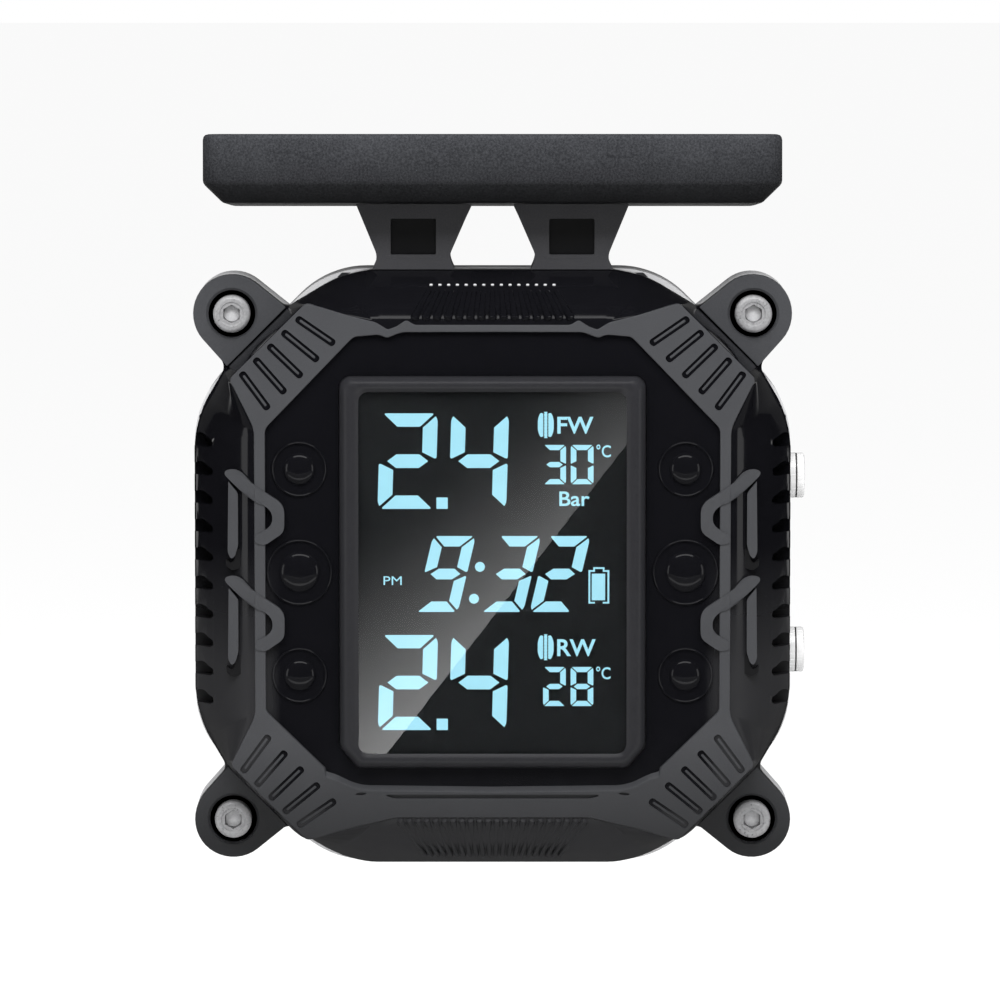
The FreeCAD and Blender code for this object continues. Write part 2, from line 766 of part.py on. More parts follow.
def make_ear_nuts():
    """Four brass inserts in the shell's ears, which take the bolts."""
    pieces = []
    for index, (side, level) in enumerate(CORNERS):
        x, z = ear_centre(side, level)
        start = (x, -size("parting") + 5.0, z)
        outer = add_cylinder(f"nut_outer_{index}", start, "-Y", 1.9, 4.8)
        bore = add_cylinder(f"nut_bore_{index}", start, "-Y", size("bolt_shank"), 4.8)
        pieces.append(cut(f"nut_{index}", outer, bore))
    return group("ear_nuts", pieces)


# ---------------------------------------------------------------------------
# Display
# ---------------------------------------------------------------------------

def make_display_bezel():
    """The gloss frame round the window, with a flange behind the cover's panel."""
    body = new_body("display_bezel")
    flange = new_sketch(body, "flange", size("cavity_front") - 1.0)
    flange_x = size("bezel_half_x") + 1.2
    flange_z = size("bezel_half_z") + 1.2
    draw_polygon(flange, octagon(flange_x, flange_z, 4.0))
    add_pad(body, "flange_solid", flange, 1.0 - size("glue_gap"))
    frame = new_sketch(body, "frame", size("cavity_front") - 0.5)
    draw_polygon(frame, bezel_outline(0.0))
    rise = size("bezel_crest") - size("cavity_front") + 0.5
    block = add_pad(body, "frame_solid", frame, rise)
    add_chamfer(body, "crest", block, 0.6, is_crest_edge)
    seat = new_sketch(body, "lens_seat", size("cavity_front") - 1.0)
    draw_polygon(seat, rectangle(0.0, 0.0, size("window_half_x") + size("lens_margin"),
                                 size("window_half_z") + size("lens_margin")))
    add_pocket(body, "lens_seat_cut", seat, size("lens_front") - size("cavity_front") + 1.0,
               reverse=True)
    window = new_sketch(body, "window", size("bezel_crest"))
    draw_polygon(window, rectangle(0.0, 0.0, size("window_half_x"), size("window_half_z")))
    opening = add_pocket(body, "window_cut", window, 2.0)
    add_fillet(body, "window_rounding", opening, size("window_round"), is_window_corner)
    return body


def is_crest_edge(edge):
    """True for the edges of the bezel's front face."""
    box = edge.BoundBox
    front = -DRIVING_SIZES["bezel_crest"][0]
    return abs(box.YMin - front) < 1e-6 and abs(box.YMax - front) < 1e-6


def is_window_corner(edge):
    """True for the four short edges at the window's corners."""
    box = edge.BoundBox
    half = DRIVING_SIZES["window_half_x"][0]
    front = -DRIVING_SIZES["bezel_crest"][0]
    at_window = abs(abs(box.Center.x) - half) < 1e-6
    return runs_along(edge, "Y") and at_window and abs(box.YMin - front) < 1e-6


def make_display_stack():
    """The lens, the liquid crystal panel, its backlight and their carrier."""
    lens_back = size("lens_front") - size("lens_thick")
    lcd_back = lens_back - size("lcd_thick")
    light_back = lcd_back - size("backlight_thick")
    reach_x = size("window_half_x") + size("lens_margin") - 0.05
    reach_z = size("window_half_z") + size("lens_margin") - 0.05
    layers = (
        ("display_lens", size("lens_front"), size("lens_thick"), 0.0),
        ("lcd_panel", lens_back, size("lcd_thick"), 0.3),
        ("backlight", lcd_back, size("backlight_thick"), 0.5),
    )
    for label, front, thick, inset in layers:
        half_x = reach_x - inset
        half_z = reach_z - inset
        layer = add_box(label, (-half_x, -front, -half_z), (half_x * 2, thick, half_z * 2))
        layer.Label = label
    wall = 1.2
    outer = add_box("carrier_outer", (-reach_x - wall, -light_back, -reach_z),
                    ((reach_x + wall) * 2, light_back - size("board_front"), reach_z * 2))
    inner = add_box("carrier_inner", (-reach_x + wall, -light_back - 1.0, -reach_z + wall * 2),
                    ((reach_x - wall) * 2, light_back - size("board_front") + 2.0,
                     (reach_z - wall * 2) * 2))
    cut("lcd_carrier", outer, inner)


# ---------------------------------------------------------------------------
# Board, battery, charge port
# ---------------------------------------------------------------------------

def make_main_board():
    """The circuit board, held by four screws to the cover's bosses."""
    body = new_body("main_board")
    outline = new_sketch(body, "board", size("board_front") - size("board_thick"))
    draw_polygon(outline, octagon(size("board_half_x"), size("board_half_z"), 5.0))
    for side, level in CORNERS:
        draw_circle(outline, boss_centre(side, level), 1.15)
    add_pad(body, "board_solid", outline, size("board_thick"))
    return body


def make_board_screws():
    """Four self-tapping screws through the board."""
    pieces = []
    back = size("board_front") - size("board_thick")
    for index, (side, level) in enumerate(CORNERS):
        x, z = boss_centre(side, level)
        head = add_cylinder(f"board_screw_head_{index}", (x, -back + 1.2, z), "-Y", 1.9, 1.2)
        shank = add_cylinder(f"board_screw_shank_{index}", (x, -back, z), "-Y", 0.85, 5.5)
        pieces.append(join(f"board_screw_{index}", [head, shank]))
    return group("board_screws", pieces)


def make_board_chips():
    """The parts soldered to the back of the board: (name, x, z, width, height, thickness)."""
    back = size("board_front") - size("board_thick")
    chips = (
        ("controller", -6.0, 4.0, 7.0, 7.0, 1.0),
        ("radio_chip", -17.0, -14.0, 4.0, 4.0, 0.9),
        ("crystal", -17.0, -8.0, 3.2, 2.5, 0.8),
        ("charger_chip", 9.0, -20.0, 3.0, 3.0, 1.0),
        ("inductor", 15.0, -20.0, 4.0, 4.0, 2.0),
        ("lcd_driver", -4.0, -10.0, 9.0, 5.0, 1.0),
        ("lead_socket", 11.9, 24.6, 6.0, 4.0, 2.6),
    )
    pieces = []
    for name, x, z, width, height, thick in chips:
        low = (x - width / 2, -back, z - height / 2)
        pieces.append(add_box(name, low, (width, thick, height)))
    return group("board_chips", pieces)


def make_antenna():
    """The radio's wire antenna, bent over the board's left edge in one wide curve."""
    antenna = document.addObject("Part::Feature", "receiver_antenna")
    antenna.Label = "receiver_antenna"
    back = DRIVING_SIZES["board_front"][0] - DRIVING_SIZES["board_thick"][0]
    wire_radius = 0.4
    bend = 4.0
    side = -DRIVING_SIZES["board_half_x"][0] + 2.0
    low = Vector(side + 6.0, -back + 1.6, -17.5)
    corner = Vector(side + bend, low.y, low.z)
    middle = Vector(side + bend * (1 - math.sin(math.radians(45))), low.y,
                    low.z + bend * (1 - math.cos(math.radians(45))))
    up = Vector(side, low.y, low.z + bend)
    top = Vector(side, low.y, 12.0)
    edges = [
        Part.LineSegment(low, corner).toShape(),
        Part.Arc(corner, middle, up).toShape(),
        Part.LineSegment(up, top).toShape(),
    ]
    profile = Part.Wire(Part.Circle(low, Vector(-1, 0, 0), wire_radius).toShape())
    tube = Part.Wire(edges).makePipeShell([profile], True, False)
    leg = Part.makeCylinder(wire_radius, 1.6 + 0.3, low + Vector(0.2, 0.3, 0), Vector(0, -1, 0))
    antenna.Shape = tube.fuse(leg)
    return antenna


def make_battery():
    """The lithium pouch cell and the adhesive pad that holds it to the shell."""
    inner_wall = size("shell_back") + size("wall")
    pad = add_box("battery_pad", (-11.0, -inner_wall - 0.5, -17.0), (22.0, 0.5, 34.0))
    pad.Label = "battery_pad"
    cell = document.addObject("Part::Box", "battery_blank")
    bind(cell, "Length", 26.0)
    bind(cell, "Width", 4.5)
    bind(cell, "Height", 40.0)
    place(cell, (-13.0, -inner_wall - 5.0, -20.0))
    document.recompute()
    battery = document.addObject("Part::Fillet", "battery")
    battery.Label = "battery"
    battery.Base = cell
    upright = [index for index, edge in enumerate(cell.Shape.Edges, start=1) if runs_along(edge, "Z")]
    battery.Edges = [(index, 1.2, 1.2) for index in upright]
    return battery


def make_charge_socket():
    """The board's charge socket, a steel shell with a tongue inside."""
    depth = size("port_depth")
    low_z = -size("body_half") + size("wall") + 0.2
    back = size("board_front") - size("board_thick")
    thick = back - depth + 1.9
    outer = add_box("socket_outer", (-4.47, -back, low_z), (8.94, thick, 7.6))
    inner = add_box("socket_inner", (-4.1, -back + 0.35, low_z - 1.0), (8.2, thick - 0.7, 7.4))
    shell = cut("socket_shell", outer, inner)
    tongue = add_box("socket_tongue", (-3.3, -depth - 0.35, low_z + 0.8), (6.6, 0.7, 5.8))
    return join("charge_socket", [shell, tongue])


def make_port_cover():
    """The rubber cover of the charge port and the anchor that holds its tether."""
    depth = size("port_depth")
    outside = -size("body_half")
    left = size("port_place_x") - size("flap_half_x") + 0.3
    plate = add_box("flap_plate", (left, -depth - size("flap_half_deep"), outside),
                    (size("flap_half_x") * 2 - 0.3, size("flap_half_deep") * 2, size("flap_thick")))
    plug = add_box("flap_plug", (-size("port_half_x") + 0.3, -depth - size("port_half_deep") + 0.3,
                                 outside + size("flap_thick") - 0.1),
                   (size("port_half_x") * 2 - 0.7, size("port_half_deep") * 2 - 0.6, 0.9))
    join("charge_port_cover", [plate, plug])
    anchor = add_box("anchor_plate", (left - 1.9, -depth - size("flap_half_deep"), outside),
                     (1.7, size("flap_half_deep") * 2, size("flap_thick") + 0.1))
    anchor.Label = "port_cover_anchor"


# ---------------------------------------------------------------------------
# Buttons
# ---------------------------------------------------------------------------

def make_button(name, level):
    """A metal button cap, its o-ring and the switch plunger that it pushes."""
    z = size("button_place_z") * level
    y = -size("button_depth")
    inner_face = size("body_half") - size("wall") - 0.3
    cap = add_cylinder(f"{name}_cap_body", (inner_face, y, z), "+X", size("button_round"),
                       size("button_tip") - inner_face)
    flange = add_cylinder(f"{name}_cap_flange", (inner_face - 0.8, y, z), "+X",
                          size("button_round") + 0.3, 0.8)
    blank = join(f"{name}_cap_blank", [cap, flange])
    groove_outer = add_cylinder(f"{name}_groove_outer", (size("body_half") - 1.45, y, z), "+X",
                                size("button_round") + 1.0, 0.9)
    groove_inner = add_cylinder(f"{name}_groove_inner", (size("body_half") - 1.45, y, z), "+X",
                                size("button_round") - 0.6, 0.9)
    groove = cut(f"{name}_groove", groove_outer, groove_inner)
    grooved = cut(f"{name}_cap_grooved", blank, groove)
    document.recompute()
    tip = DRIVING_SIZES["button_tip"][0]
    rim = [index for index, edge in enumerate(grooved.Shape.Edges, start=1)
           if abs(edge.BoundBox.XMin - tip) < 1e-6]
    rounded = document.addObject("Part::Chamfer", f"{name}_button_cap")
    rounded.Label = f"{name}_button_cap"
    rounded.Base = grooved
    rounded.Edges = [(index, 0.3, 0.3) for index in rim]

    ring = document.addObject("Part::Torus", f"{name}_button_ring")
    ring.Label = f"{name}_button_ring"
    bind(ring, "Radius1", size("button_round") - 0.27)
    ring.Radius2 = 0.32
    ring.Placement = FreeCAD.Placement(Vector(), TURNS["+X"])
    place(ring, (size("body_half") - 1.0, y, z))

    plunger = add_cylinder(f"{name}_switch_plunger", (29.0, y, z), "+X", 1.0, inner_face - 0.8 - 29.0)
    plunger.Label = f"{name}_switch_plunger"


def make_switches():
    """The two side-push switches on the board, each bored for its plunger."""
    pieces = []
    back = size("board_front") - size("board_thick")
    for index, level in enumerate(SIDES):
        z = size("button_place_z") * level
        case = add_box(f"switch_case_{index}", (24.0, -back, z - 3.0), (6.5, 3.9, 6.0))
        bore = add_cylinder(f"switch_bore_{index}", (28.0, -size("button_depth"), z), "+X", 1.08, 4.0)
        pieces.append(cut(f"switch_{index}", case, bore))
    return group("button_switches", pieces)


# ---------------------------------------------------------------------------
# Posts and solar tray
# ---------------------------------------------------------------------------

def post_screw_x(side):
    """Where the screws of one post stand."""
    return size("post_place") * side - 1.9


def lower_screw_depth():
    """Depth of the screw that holds a post to the shell."""
    return size("post_back") + 2.0


def upper_screw_depth():
    """Depth of the screw that holds the tray to a post."""
    return size("post_front") - 2.0


def lead_x():
    """Where the solar leads run down the right post."""
    return size("post_place") + 2.3


def lead_depth():
    """Depth of the solar leads."""
    return size("post_back") + 2.2


def tilt(target, label):
    """Lean an object back by the tray's fall, about the middle of the posts' tops."""
    pivot = Vector(0, -(DRIVING_SIZES["post_front"][0] + DRIVING_SIZES["post_back"][0]) / 2,
                   DRIVING_SIZES["tray_bottom"][0])
    turn = FreeCAD.Rotation(Vector(1, 0, 0), -DRIVING_SIZES["tray_tilt"][0])
    target.Placement = FreeCAD.Placement(Vector(), turn, pivot).multiply(target.Placement)
    target.Label = label
    return target


def make_post(label, side):
    """One post: wide under the tray, narrow at the neck, flared on to the body."""
    body = new_body(f"{label}_blank")
    outline = new_sketch(body, "post_outline", size("post_back"))
    centre = size("post_place") * side
    top = size("tray_bottom") + 1.0
    foot = size("body_half")
    neck = size("post_neck_z")
    points = [
        (centre - 4.9, foot),
        (centre + 4.9, foot),
        (centre + 4.7, foot + 0.5),
        (centre + 4.4, neck),
        (centre + 7.2, top),
        (centre - 7.2, top),
        (centre - 4.4, neck),
        (centre - 4.7, foot + 0.5),
    ]
    draw_polygon(outline, points)
    add_pad(body, "post_solid", outline, size("post_front") - size("post_back"))
    face = new_sketch(body, "post_recess", size("post_front"))
    draw_polygon(face, rectangle(centre, (top + neck) / 2 - 0.5, 2.75, 2.2))
    add_pocket(body, "post_recess_cut", face, 0.3)
    holes = new_sketch(body, "lower_pilot", size("body_half"), "XY_Plane")
    draw_circle(holes, (post_screw_x(side), -lower_screw_depth()), 1.0)
    add_pocket(body, "lower_pilot_cut", holes, 5.0, reverse=True)
    if side > 0:
        bore = new_sketch(body, "lead_bore", size("body_half") - 1.0, "XY_Plane")
        draw_circle(bore, (lead_x(), -lead_depth()), 1.2)
        add_pocket(body, "lead_bore_cut", bore, 12.0, reverse=True)
    slab = add_box(f"{label}_slab", (-40.0, -40.0, size("tray_bottom")), (80.0, 60.0, 10.0))
    pilot_start = (post_screw_x(side), -upper_screw_depth(), size("tray_bottom") - 4.6)
    pilot = add_cylinder(f"{label}_upper_pilot", pilot_start, "+Z", 1.0, 6.0)
    tray_space = tilt(join(f"{label}_tray_space", [slab, pilot]), f"{label}_tray_space")
    return cut(label, body, tray_space)


def make_post_screws():
    """Two screws up into the posts from inside the shell."""
    pieces = []
    under = size("body_half") - size("wall")
    for index, side in enumerate(SIDES):
        spot = (post_screw_x(side), -lower_screw_depth())
        head = add_cylinder(f"post_screw_head_{index}", (*spot, under - 1.3), "+Z", 2.1, 1.3)
        shank = add_cylinder(f"post_screw_shank_{index}", (*spot, under), "+Z", 1.0, 6.5)
        pieces.append(join(f"post_screw_{index}", [head, shank]))
    return group("post_screws", pieces)


def make_tray_screws():
    """Two screws down through the tray's floor into the posts."""
    pieces = []
    floor = size("tray_bottom") + size("wall")
    for index, side in enumerate(SIDES):
        spot = (post_screw_x(side), -upper_screw_depth())
        head = add_cylinder(f"tray_screw_head_{index}", (*spot, floor), "+Z", 2.1, 1.3)
        shank = add_cylinder(f"tray_screw_shank_{index}", (*spot, floor - 6.4), "+Z", 1.0, 6.4)
        pieces.append(join(f"tray_screw_{index}", [head, shank]))
    screws = group("tray_screws", pieces)
    document.recompute()
    return tilt(screws, "tray_screws")


def tray_rectangle(inset):
    """The tray's outline seen from above, moved in by an inset."""
    middle = size("tray_deep") / 2 - size("tray_front")
    half_x = size("tray_half_x") - inset
    return rectangle(0.0, middle, half_x, size("tray_deep") / 2 - inset)


def make_solar_tray():
    """The open box that carries the solar panel, chamfered round its underside."""
    body = new_body("solar_tray")
    base = size("tray_bottom")
    outline = new_sketch(body, "tray_outline", base, "XY_Plane")
    draw_polygon(outline, tray_rectangle(0.0))
    block = add_pad(body, "tray_block", outline, size("tray_height"))
    rounded = add_fillet(body, "tray_corners", block, size("tray_round"),
                         lambda edge: runs_along(edge, "Z"))
    add_chamfer(body, "tray_underside", rounded, size("tray_cut"), is_tray_base_edge)
    seat = new_sketch(body, "panel_seat", base + size("tray_height"), "XY_Plane")
    draw_polygon(seat, tray_rectangle(size("tray_wall")))
    add_pocket(body, "panel_seat_cut", seat, 1.9)
    well = new_sketch(body, "tray_well", base + size("tray_height"), "XY_Plane")
    draw_polygon(well, tray_rectangle(size("tray_wall") + 2.2))
    add_pocket(body, "tray_well_cut", well, size("tray_height") - size("wall"))
    holes = new_sketch(body, "tray_holes", base - 1.0, "XY_Plane")
    for side in SIDES:
        draw_circle(holes, (post_screw_x(side), -upper_screw_depth()), 1.15)
    draw_circle(holes, (lead_x(), -lead_depth()), 1.3)
    add_pocket(body, "tray_hole_cuts", holes, 5.0, reverse=True)
    document.recompute()
    return tilt(body, "solar_tray")


def is_tray_base_edge(edge):
    """True for the edges of the tray's underside."""
    box = edge.BoundBox
    base = DRIVING_SIZES["tray_bottom"][0]
    return abs(box.ZMin - base) < 1e-6 and abs(box.ZMax - base) < 1e-6


def make_solar_panel():
    """The solar cell and the clear sheet over it, both set into the tray's rim."""
    layers = (("solar_cell", 1.9, 0.7, 0.2), ("solar_glass", 1.2, 1.0, 0.1))
    top = size("tray_bottom") + size("tray_height")
    for label, down, thick, gap in layers:
        low, _, high, _ = tray_rectangle(size("tray_wall") + gap)
        layer = add_box(f"{label}_blank", (low[0], low[1], top - down),
                        (high[0] - low[0], high[1] - low[1], thick))
        tilt(group(label, [layer]), label)


def make_solar_leads():
    """Two insulated wires from the solar cell, down the right post, to the board."""
    pieces = []
    bottom = 26.6
    top = size("tray_bottom") + 5.5
    for index, offset in enumerate((-0.5, 0.5)):
        start = (lead_x() + offset, -lead_depth(), bottom)
        pieces.append(add_cylinder(f"solar_lead_{index}", start, "+Z", 0.45, top - bottom))
    return group("solar_leads", pieces)


# ---------------------------------------------------------------------------
# Build, check and write
# ---------------------------------------------------------------------------

make_front_cover()
make_rear_shell()
make_cover_seal()
make_mount_inserts()
make_ear_bolts()
make_ear_nuts()
make_display_bezel()
make_display_stack()
make_main_board()
make_board_screws()
make_board_chips()
make_antenna()
make_battery()
make_charge_socket()
make_port_cover()
make_button("upper", 1)
make_button("lower", -1)
make_switches()
make_post("left_post", -1)
make_post("right_post", 1)
make_post_screws()
make_tray_screws()
make_solar_tray()
make_solar_panel()
make_solar_leads()
document.recompute()

NODES = (
    "front_cover", "rear_shell", "cover_seal", "mount_inserts", "ear_bolts", "ear_nuts",
    "display_bezel", "display_lens", "lcd_panel", "backlight", "lcd_carrier",
    "main_board", "board_screws", "board_chips", "receiver_antenna",
    "battery", "battery_pad", "charge_socket", "charge_port_cover", "port_cover_anchor",
    "upper_button_cap", "upper_button_ring", "upper_switch_plunger",
    "lower_button_cap", "lower_button_ring", "lower_switch_plunger", "button_switches",
    "left_post", "right_post", "post_screws", "tray_screws",
    "solar_tray", "solar_cell", "solar_glass", "solar_leads",
)

for item in document.Objects:
    if "Invalid" in item.State or "Error" in item.State:
        raise RuntimeError(f"{item.Label} failed: {item.State}")

os.makedirs("parts", exist_ok=True)
for label in NODES:
    shape = document.getObjectsByLabel(label)[0].Shape
    if shape.isNull() or not shape.isValid() or not shape.Solids:
        raise RuntimeError(f"{label} has no valid solid")
    shape.exportStep(f"parts/{label}.step")
    box = shape.BoundBox
    print(f"{label}: {len(shape.Solids)} solids, {shape.Volume:.1f} mm3, "
          f"X {box.XMin:.2f}..{box.XMax:.2f} Y {box.YMin:.2f}..{box.YMax:.2f} "
          f"Z {box.ZMin:.2f}..{box.ZMax:.2f}")
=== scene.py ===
import logging
import math
from dataclasses import dataclass, field
from enum import Enum
from typing import Any, Sequence

import bmesh
import bpy
from mathutils import Matrix, Vector


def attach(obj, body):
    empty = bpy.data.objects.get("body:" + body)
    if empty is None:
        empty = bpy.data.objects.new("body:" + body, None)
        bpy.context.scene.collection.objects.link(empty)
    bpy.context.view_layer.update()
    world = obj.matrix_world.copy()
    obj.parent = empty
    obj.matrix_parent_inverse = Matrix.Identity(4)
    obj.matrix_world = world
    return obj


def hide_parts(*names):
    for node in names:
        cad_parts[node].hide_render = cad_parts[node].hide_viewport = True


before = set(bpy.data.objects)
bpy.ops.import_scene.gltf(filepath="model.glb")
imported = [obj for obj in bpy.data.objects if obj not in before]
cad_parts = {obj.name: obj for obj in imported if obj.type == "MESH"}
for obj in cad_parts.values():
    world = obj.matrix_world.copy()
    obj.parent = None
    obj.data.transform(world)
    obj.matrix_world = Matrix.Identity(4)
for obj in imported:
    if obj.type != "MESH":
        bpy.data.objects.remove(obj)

LOG = logging.getLogger("tire_monitor")
MM = 0.001
SIDES = {-1: "left", 1: "right"}
QUARTERS = ((-1, -1), (1, -1), (-1, 1), (1, 1))
EAR_CENTRE = (31.6, 30.85)
TRAY_LEAN = math.radians(3.5)
TRAY_PIVOT = 11.5
BLACK = (0.0, 0.0, 0.0)
WHITE = (1.0, 1.0, 1.0)
RIGHT, FRONT = Vector((1, 0, 0)), Vector((0, -1, 0))
UP, DOWN = (0, 0, 1), (0, 0, -1)
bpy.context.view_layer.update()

Corner = tuple[float, float, float]
Spot = tuple[float, float]
Edges = list[bmesh.types.BMEdge]


# --------------------------------------------------------------------------
# Shader maths
# --------------------------------------------------------------------------

class Wire:
    """A shader output that Python's operators work on."""

    def __init__(self, recipe: "Recipe", socket: bpy.types.NodeSocket) -> None:
        """Keep the recipe that owns the socket."""
        self.recipe = recipe
        self.socket = socket

    def math(self, operation: str, first: Any, second: Any) -> "Wire":
        """Add one Math node.

        Args:
            operation: the Math node's operation.
            first: the first value, a number or a Wire.
            second: the second value, a number or a Wire.

        Returns:
            The node's result.
        """
        node = self.recipe.node("ShaderNodeMath", {"operation": operation}, {0: first, 1: second})
        return Wire(self.recipe, node.outputs[0])

    def __add__(self, other: Any) -> "Wire":
        """Return self + other."""
        return self.math("ADD", self, other)

    def __radd__(self, other: Any) -> "Wire":
        """Return other + self."""
        return self.math("ADD", other, self)

    def __sub__(self, other: Any) -> "Wire":
        """Return self - other."""
        return self.math("SUBTRACT", self, other)

    def __rsub__(self, other: Any) -> "Wire":
        """Return other - self."""
        return self.math("SUBTRACT", other, self)

    def __mul__(self, other: Any) -> "Wire":
        """Return self * other."""
        return self.math("MULTIPLY", self, other)

    def __rmul__(self, other: Any) -> "Wire":
        """Return other * self."""
        return self.math("MULTIPLY", other, self)

    def __abs__(self) -> "Wire":
        """Return self without its sign."""
        return self.math("ABSOLUTE", self, 0.0)


class Recipe:
    """A material under construction, read in Object coordinates."""

    def __init__(self, name: str) -> None:
        """Start an empty material.

        Args:
            name: the material's name.
        """
        self.data = bpy.data.materials.new(name)
        self.data.use_nodes = True
        self.data.node_tree.nodes.clear()
        self.place = Wire(self, self.node("ShaderNodeTexCoord", {}, {}).outputs["Object"])

    def node(self, kind: str, settings: dict[str, Any], values: dict[Any, Any]) -> bpy.types.Node:
        """Add one node.

        Args:
            kind: the node's type.
            settings: the node's own settings.
            values: numbers, colours or Wires for its inputs, by name or index.

        Returns:
            The new node.
        """
        item = self.data.node_tree.nodes.new(kind)
        for name, value in settings.items():
            setattr(item, name, value)
        for name, value in values.items():
            if isinstance(value, Wire):
                self.data.node_tree.links.new(value.socket, item.inputs[name])
            else:
                item.inputs[name].default_value = value
        return item

    def axis(self, index: int) -> Wire:
        """Return the place along one axis, 0 for X, 1 for Y and 2 for Z."""
        split = self.node("ShaderNodeSeparateXYZ", {}, {0: self.place})
        return Wire(self, split.outputs[index])

    def stretched(self, scale: tuple[float, float, float]) -> Wire:
        """Return the place with each axis scaled, for grain that runs one way."""
        node = self.node("ShaderNodeMapping", {}, {"Vector": self.place, "Scale": scale})
        return Wire(self, node.outputs[0])

    def noise(self, size: float, detail: float = 2.0, place: "Wire | None" = None) -> Wire:
        """Return a noise from 0 to 1 whose features are about size millimetres across."""
        values = {"Vector": place or self.place, "Scale": 1.0 / (size * MM), "Detail": detail}
        return Wire(self, self.node("ShaderNodeTexNoise", {}, values).outputs[0])

    def ramp(self, mask: Wire, low: float, high: float) -> Wire:
        """Return 0 under low, 1 over high and a straight run between them."""
        values = {"Value": mask, "From Min": low, "From Max": high}
        node = self.node("ShaderNodeMapRange", {"clamp": True}, values)
        return Wire(self, node.outputs[0])

    def zone(self, place: Wire, edges: Spot) -> Wire:
        """Return a ramp between two places given in millimetres."""
        return self.ramp(place, edges[0] * MM, edges[1] * MM)

    def blend(self, mask: Wire, first: Any, second: Any) -> Wire:
        """Return a colour between two colours, each of them a triple or a Wire."""
        ends = [item if isinstance(item, Wire) else (*item, 1.0) for item in (first, second)]
        values = {0: mask, 6: ends[0], 7: ends[1]}
        node = self.node("ShaderNodeMix", {"data_type": "RGBA"}, values)
        return Wire(self, node.outputs[2])

    def bump(self, height: Wire, rise: float) -> Wire:
        """Return a normal bent by a height whose 1 stands rise millimetres over its 0."""
        values = {"Height": height, "Distance": rise * MM, "Strength": 1.0}
        return Wire(self, self.node("ShaderNodeBump", {}, values).outputs[0])

    def finish(self, values: dict[str, Any]) -> bpy.types.Material:
        """Close the material with one surface shader and return it."""
        shader = self.node("ShaderNodeBsdfPrincipled", {}, values)
        surface = Wire(self, shader.outputs[0])
        self.node("ShaderNodeOutputMaterial", {}, {"Surface": surface})
        return self.data


# --------------------------------------------------------------------------
# Finishes
# --------------------------------------------------------------------------

@dataclass(frozen=True)
class Moulding:
    """Moulded plastic or rubber: a grain, a drift of gloss and colour, and, where asked, painted
    shade that darkens it downwards.
    """

    name: str
    dark: tuple[float, float, float]
    light: tuple[float, float, float]
    roughness: float
    grain: float = 0.12
    rise: float = 0.006
    drift: float = 0.06
    specular: float = 0.5
    # The height band, in millimetres, of the painted shade: under it the colour is darkened towards
    # black.
    fade: Spot | None = None
    # The share of the colour that the painted shade leaves at its darkest.
    painted_shade_share: float = 1.0

    def make(self) -> bpy.types.Material:
        """Build the material and return it."""
        recipe = Recipe(self.name)
        grain = recipe.noise(self.grain, 3.0)
        cloud = recipe.noise(5.0, 2.0)
        fleck = recipe.ramp(grain, 0.35, 0.7)
        colour = recipe.blend(0.6 * fleck + 0.4 * cloud, self.dark, self.light)
        # Painted shade: the colour darkens towards black lower down, in place of less light falling
        # there.
        if self.fade:
            height = recipe.zone(recipe.axis(2), self.fade)
            shade = self.painted_shade_share + (1.0 - self.painted_shade_share) * height
            colour = recipe.blend(shade, BLACK, colour)
        rough = self.roughness + self.drift * (cloud - 0.5) + 0.5 * self.drift * (grain - 0.5)
        return recipe.finish({
            "Base Color": colour,
            "Roughness": rough,
            "Normal": recipe.bump(grain, self.rise),
            "Specular IOR Level": self.specular,
        })


@dataclass(frozen=True)
class GlossMoulding:
    """Mirror-polished black moulding, wavy from its tool, rougher on its lower flanks and
    underside, where a painted sheen also lightens it.
    """

    name: str
    colour: tuple[float, float, float] = (0.0048, 0.0048, 0.0056)
    roughness: float = 0.1
    wave: float = 2.4
    rise: float = 0.003
    specular: float = 0.5
    # The grey of the painted sheen on the lower flanks and underside; 0 leaves both the sheen and
    # the extra roughness off.
    matt_and_painted_sheen: float = 0.0
    matt_sheen_flank: Spot = (25.6, 27.4)
    matt_sheen_below: Spot = (-12.0, 3.0)
    matt_sheen_under: Spot = (-29.6, -28.2)

    def make(self) -> bpy.types.Material:
        """Build the material and return it."""
        recipe = Recipe(self.name)
        wave = recipe.noise(self.wave, 1.5)
        dust = recipe.noise(0.35, 4.0)
        specks = recipe.ramp(dust, 0.68, 0.8)
        light = tuple(3.2 * part for part in self.colour)
        colour = recipe.blend(0.35 * specks + 0.1 * wave, self.colour, light)
        rough = self.roughness + 0.05 * (wave - 0.5) + 0.12 * specks
        # Painted sheen: the lower flanks and underside are painted a lighter grey, in place of the
        # floor's light on them; the added roughness is real.
        if self.matt_and_painted_sheen > 0:
            up = recipe.axis(2)
            flank = recipe.zone(abs(recipe.axis(0)), self.matt_sheen_flank)
            low = flank * (1.0 - recipe.zone(up, self.matt_sheen_below))
            under = 1.0 - recipe.zone(up, self.matt_sheen_under)
            mask = low.math("MAXIMUM", low, under)
            colour = recipe.blend(mask, colour, (self.matt_and_painted_sheen, self.matt_and_painted_sheen, 1.1 * self.matt_and_painted_sheen))
            rough = rough + 0.32 * mask
        return recipe.finish({
            "Base Color": colour,
            "Roughness": rough,
            "Normal": recipe.bump(0.9 * wave + 0.1 * dust, self.rise),
            "Specular IOR Level": self.specular,
        })


class Grain(Enum):
    """Which way the fine lines of a metal run."""

    ROUND = "round"
    ALONG_X = "along x"
    EVEN = "even"


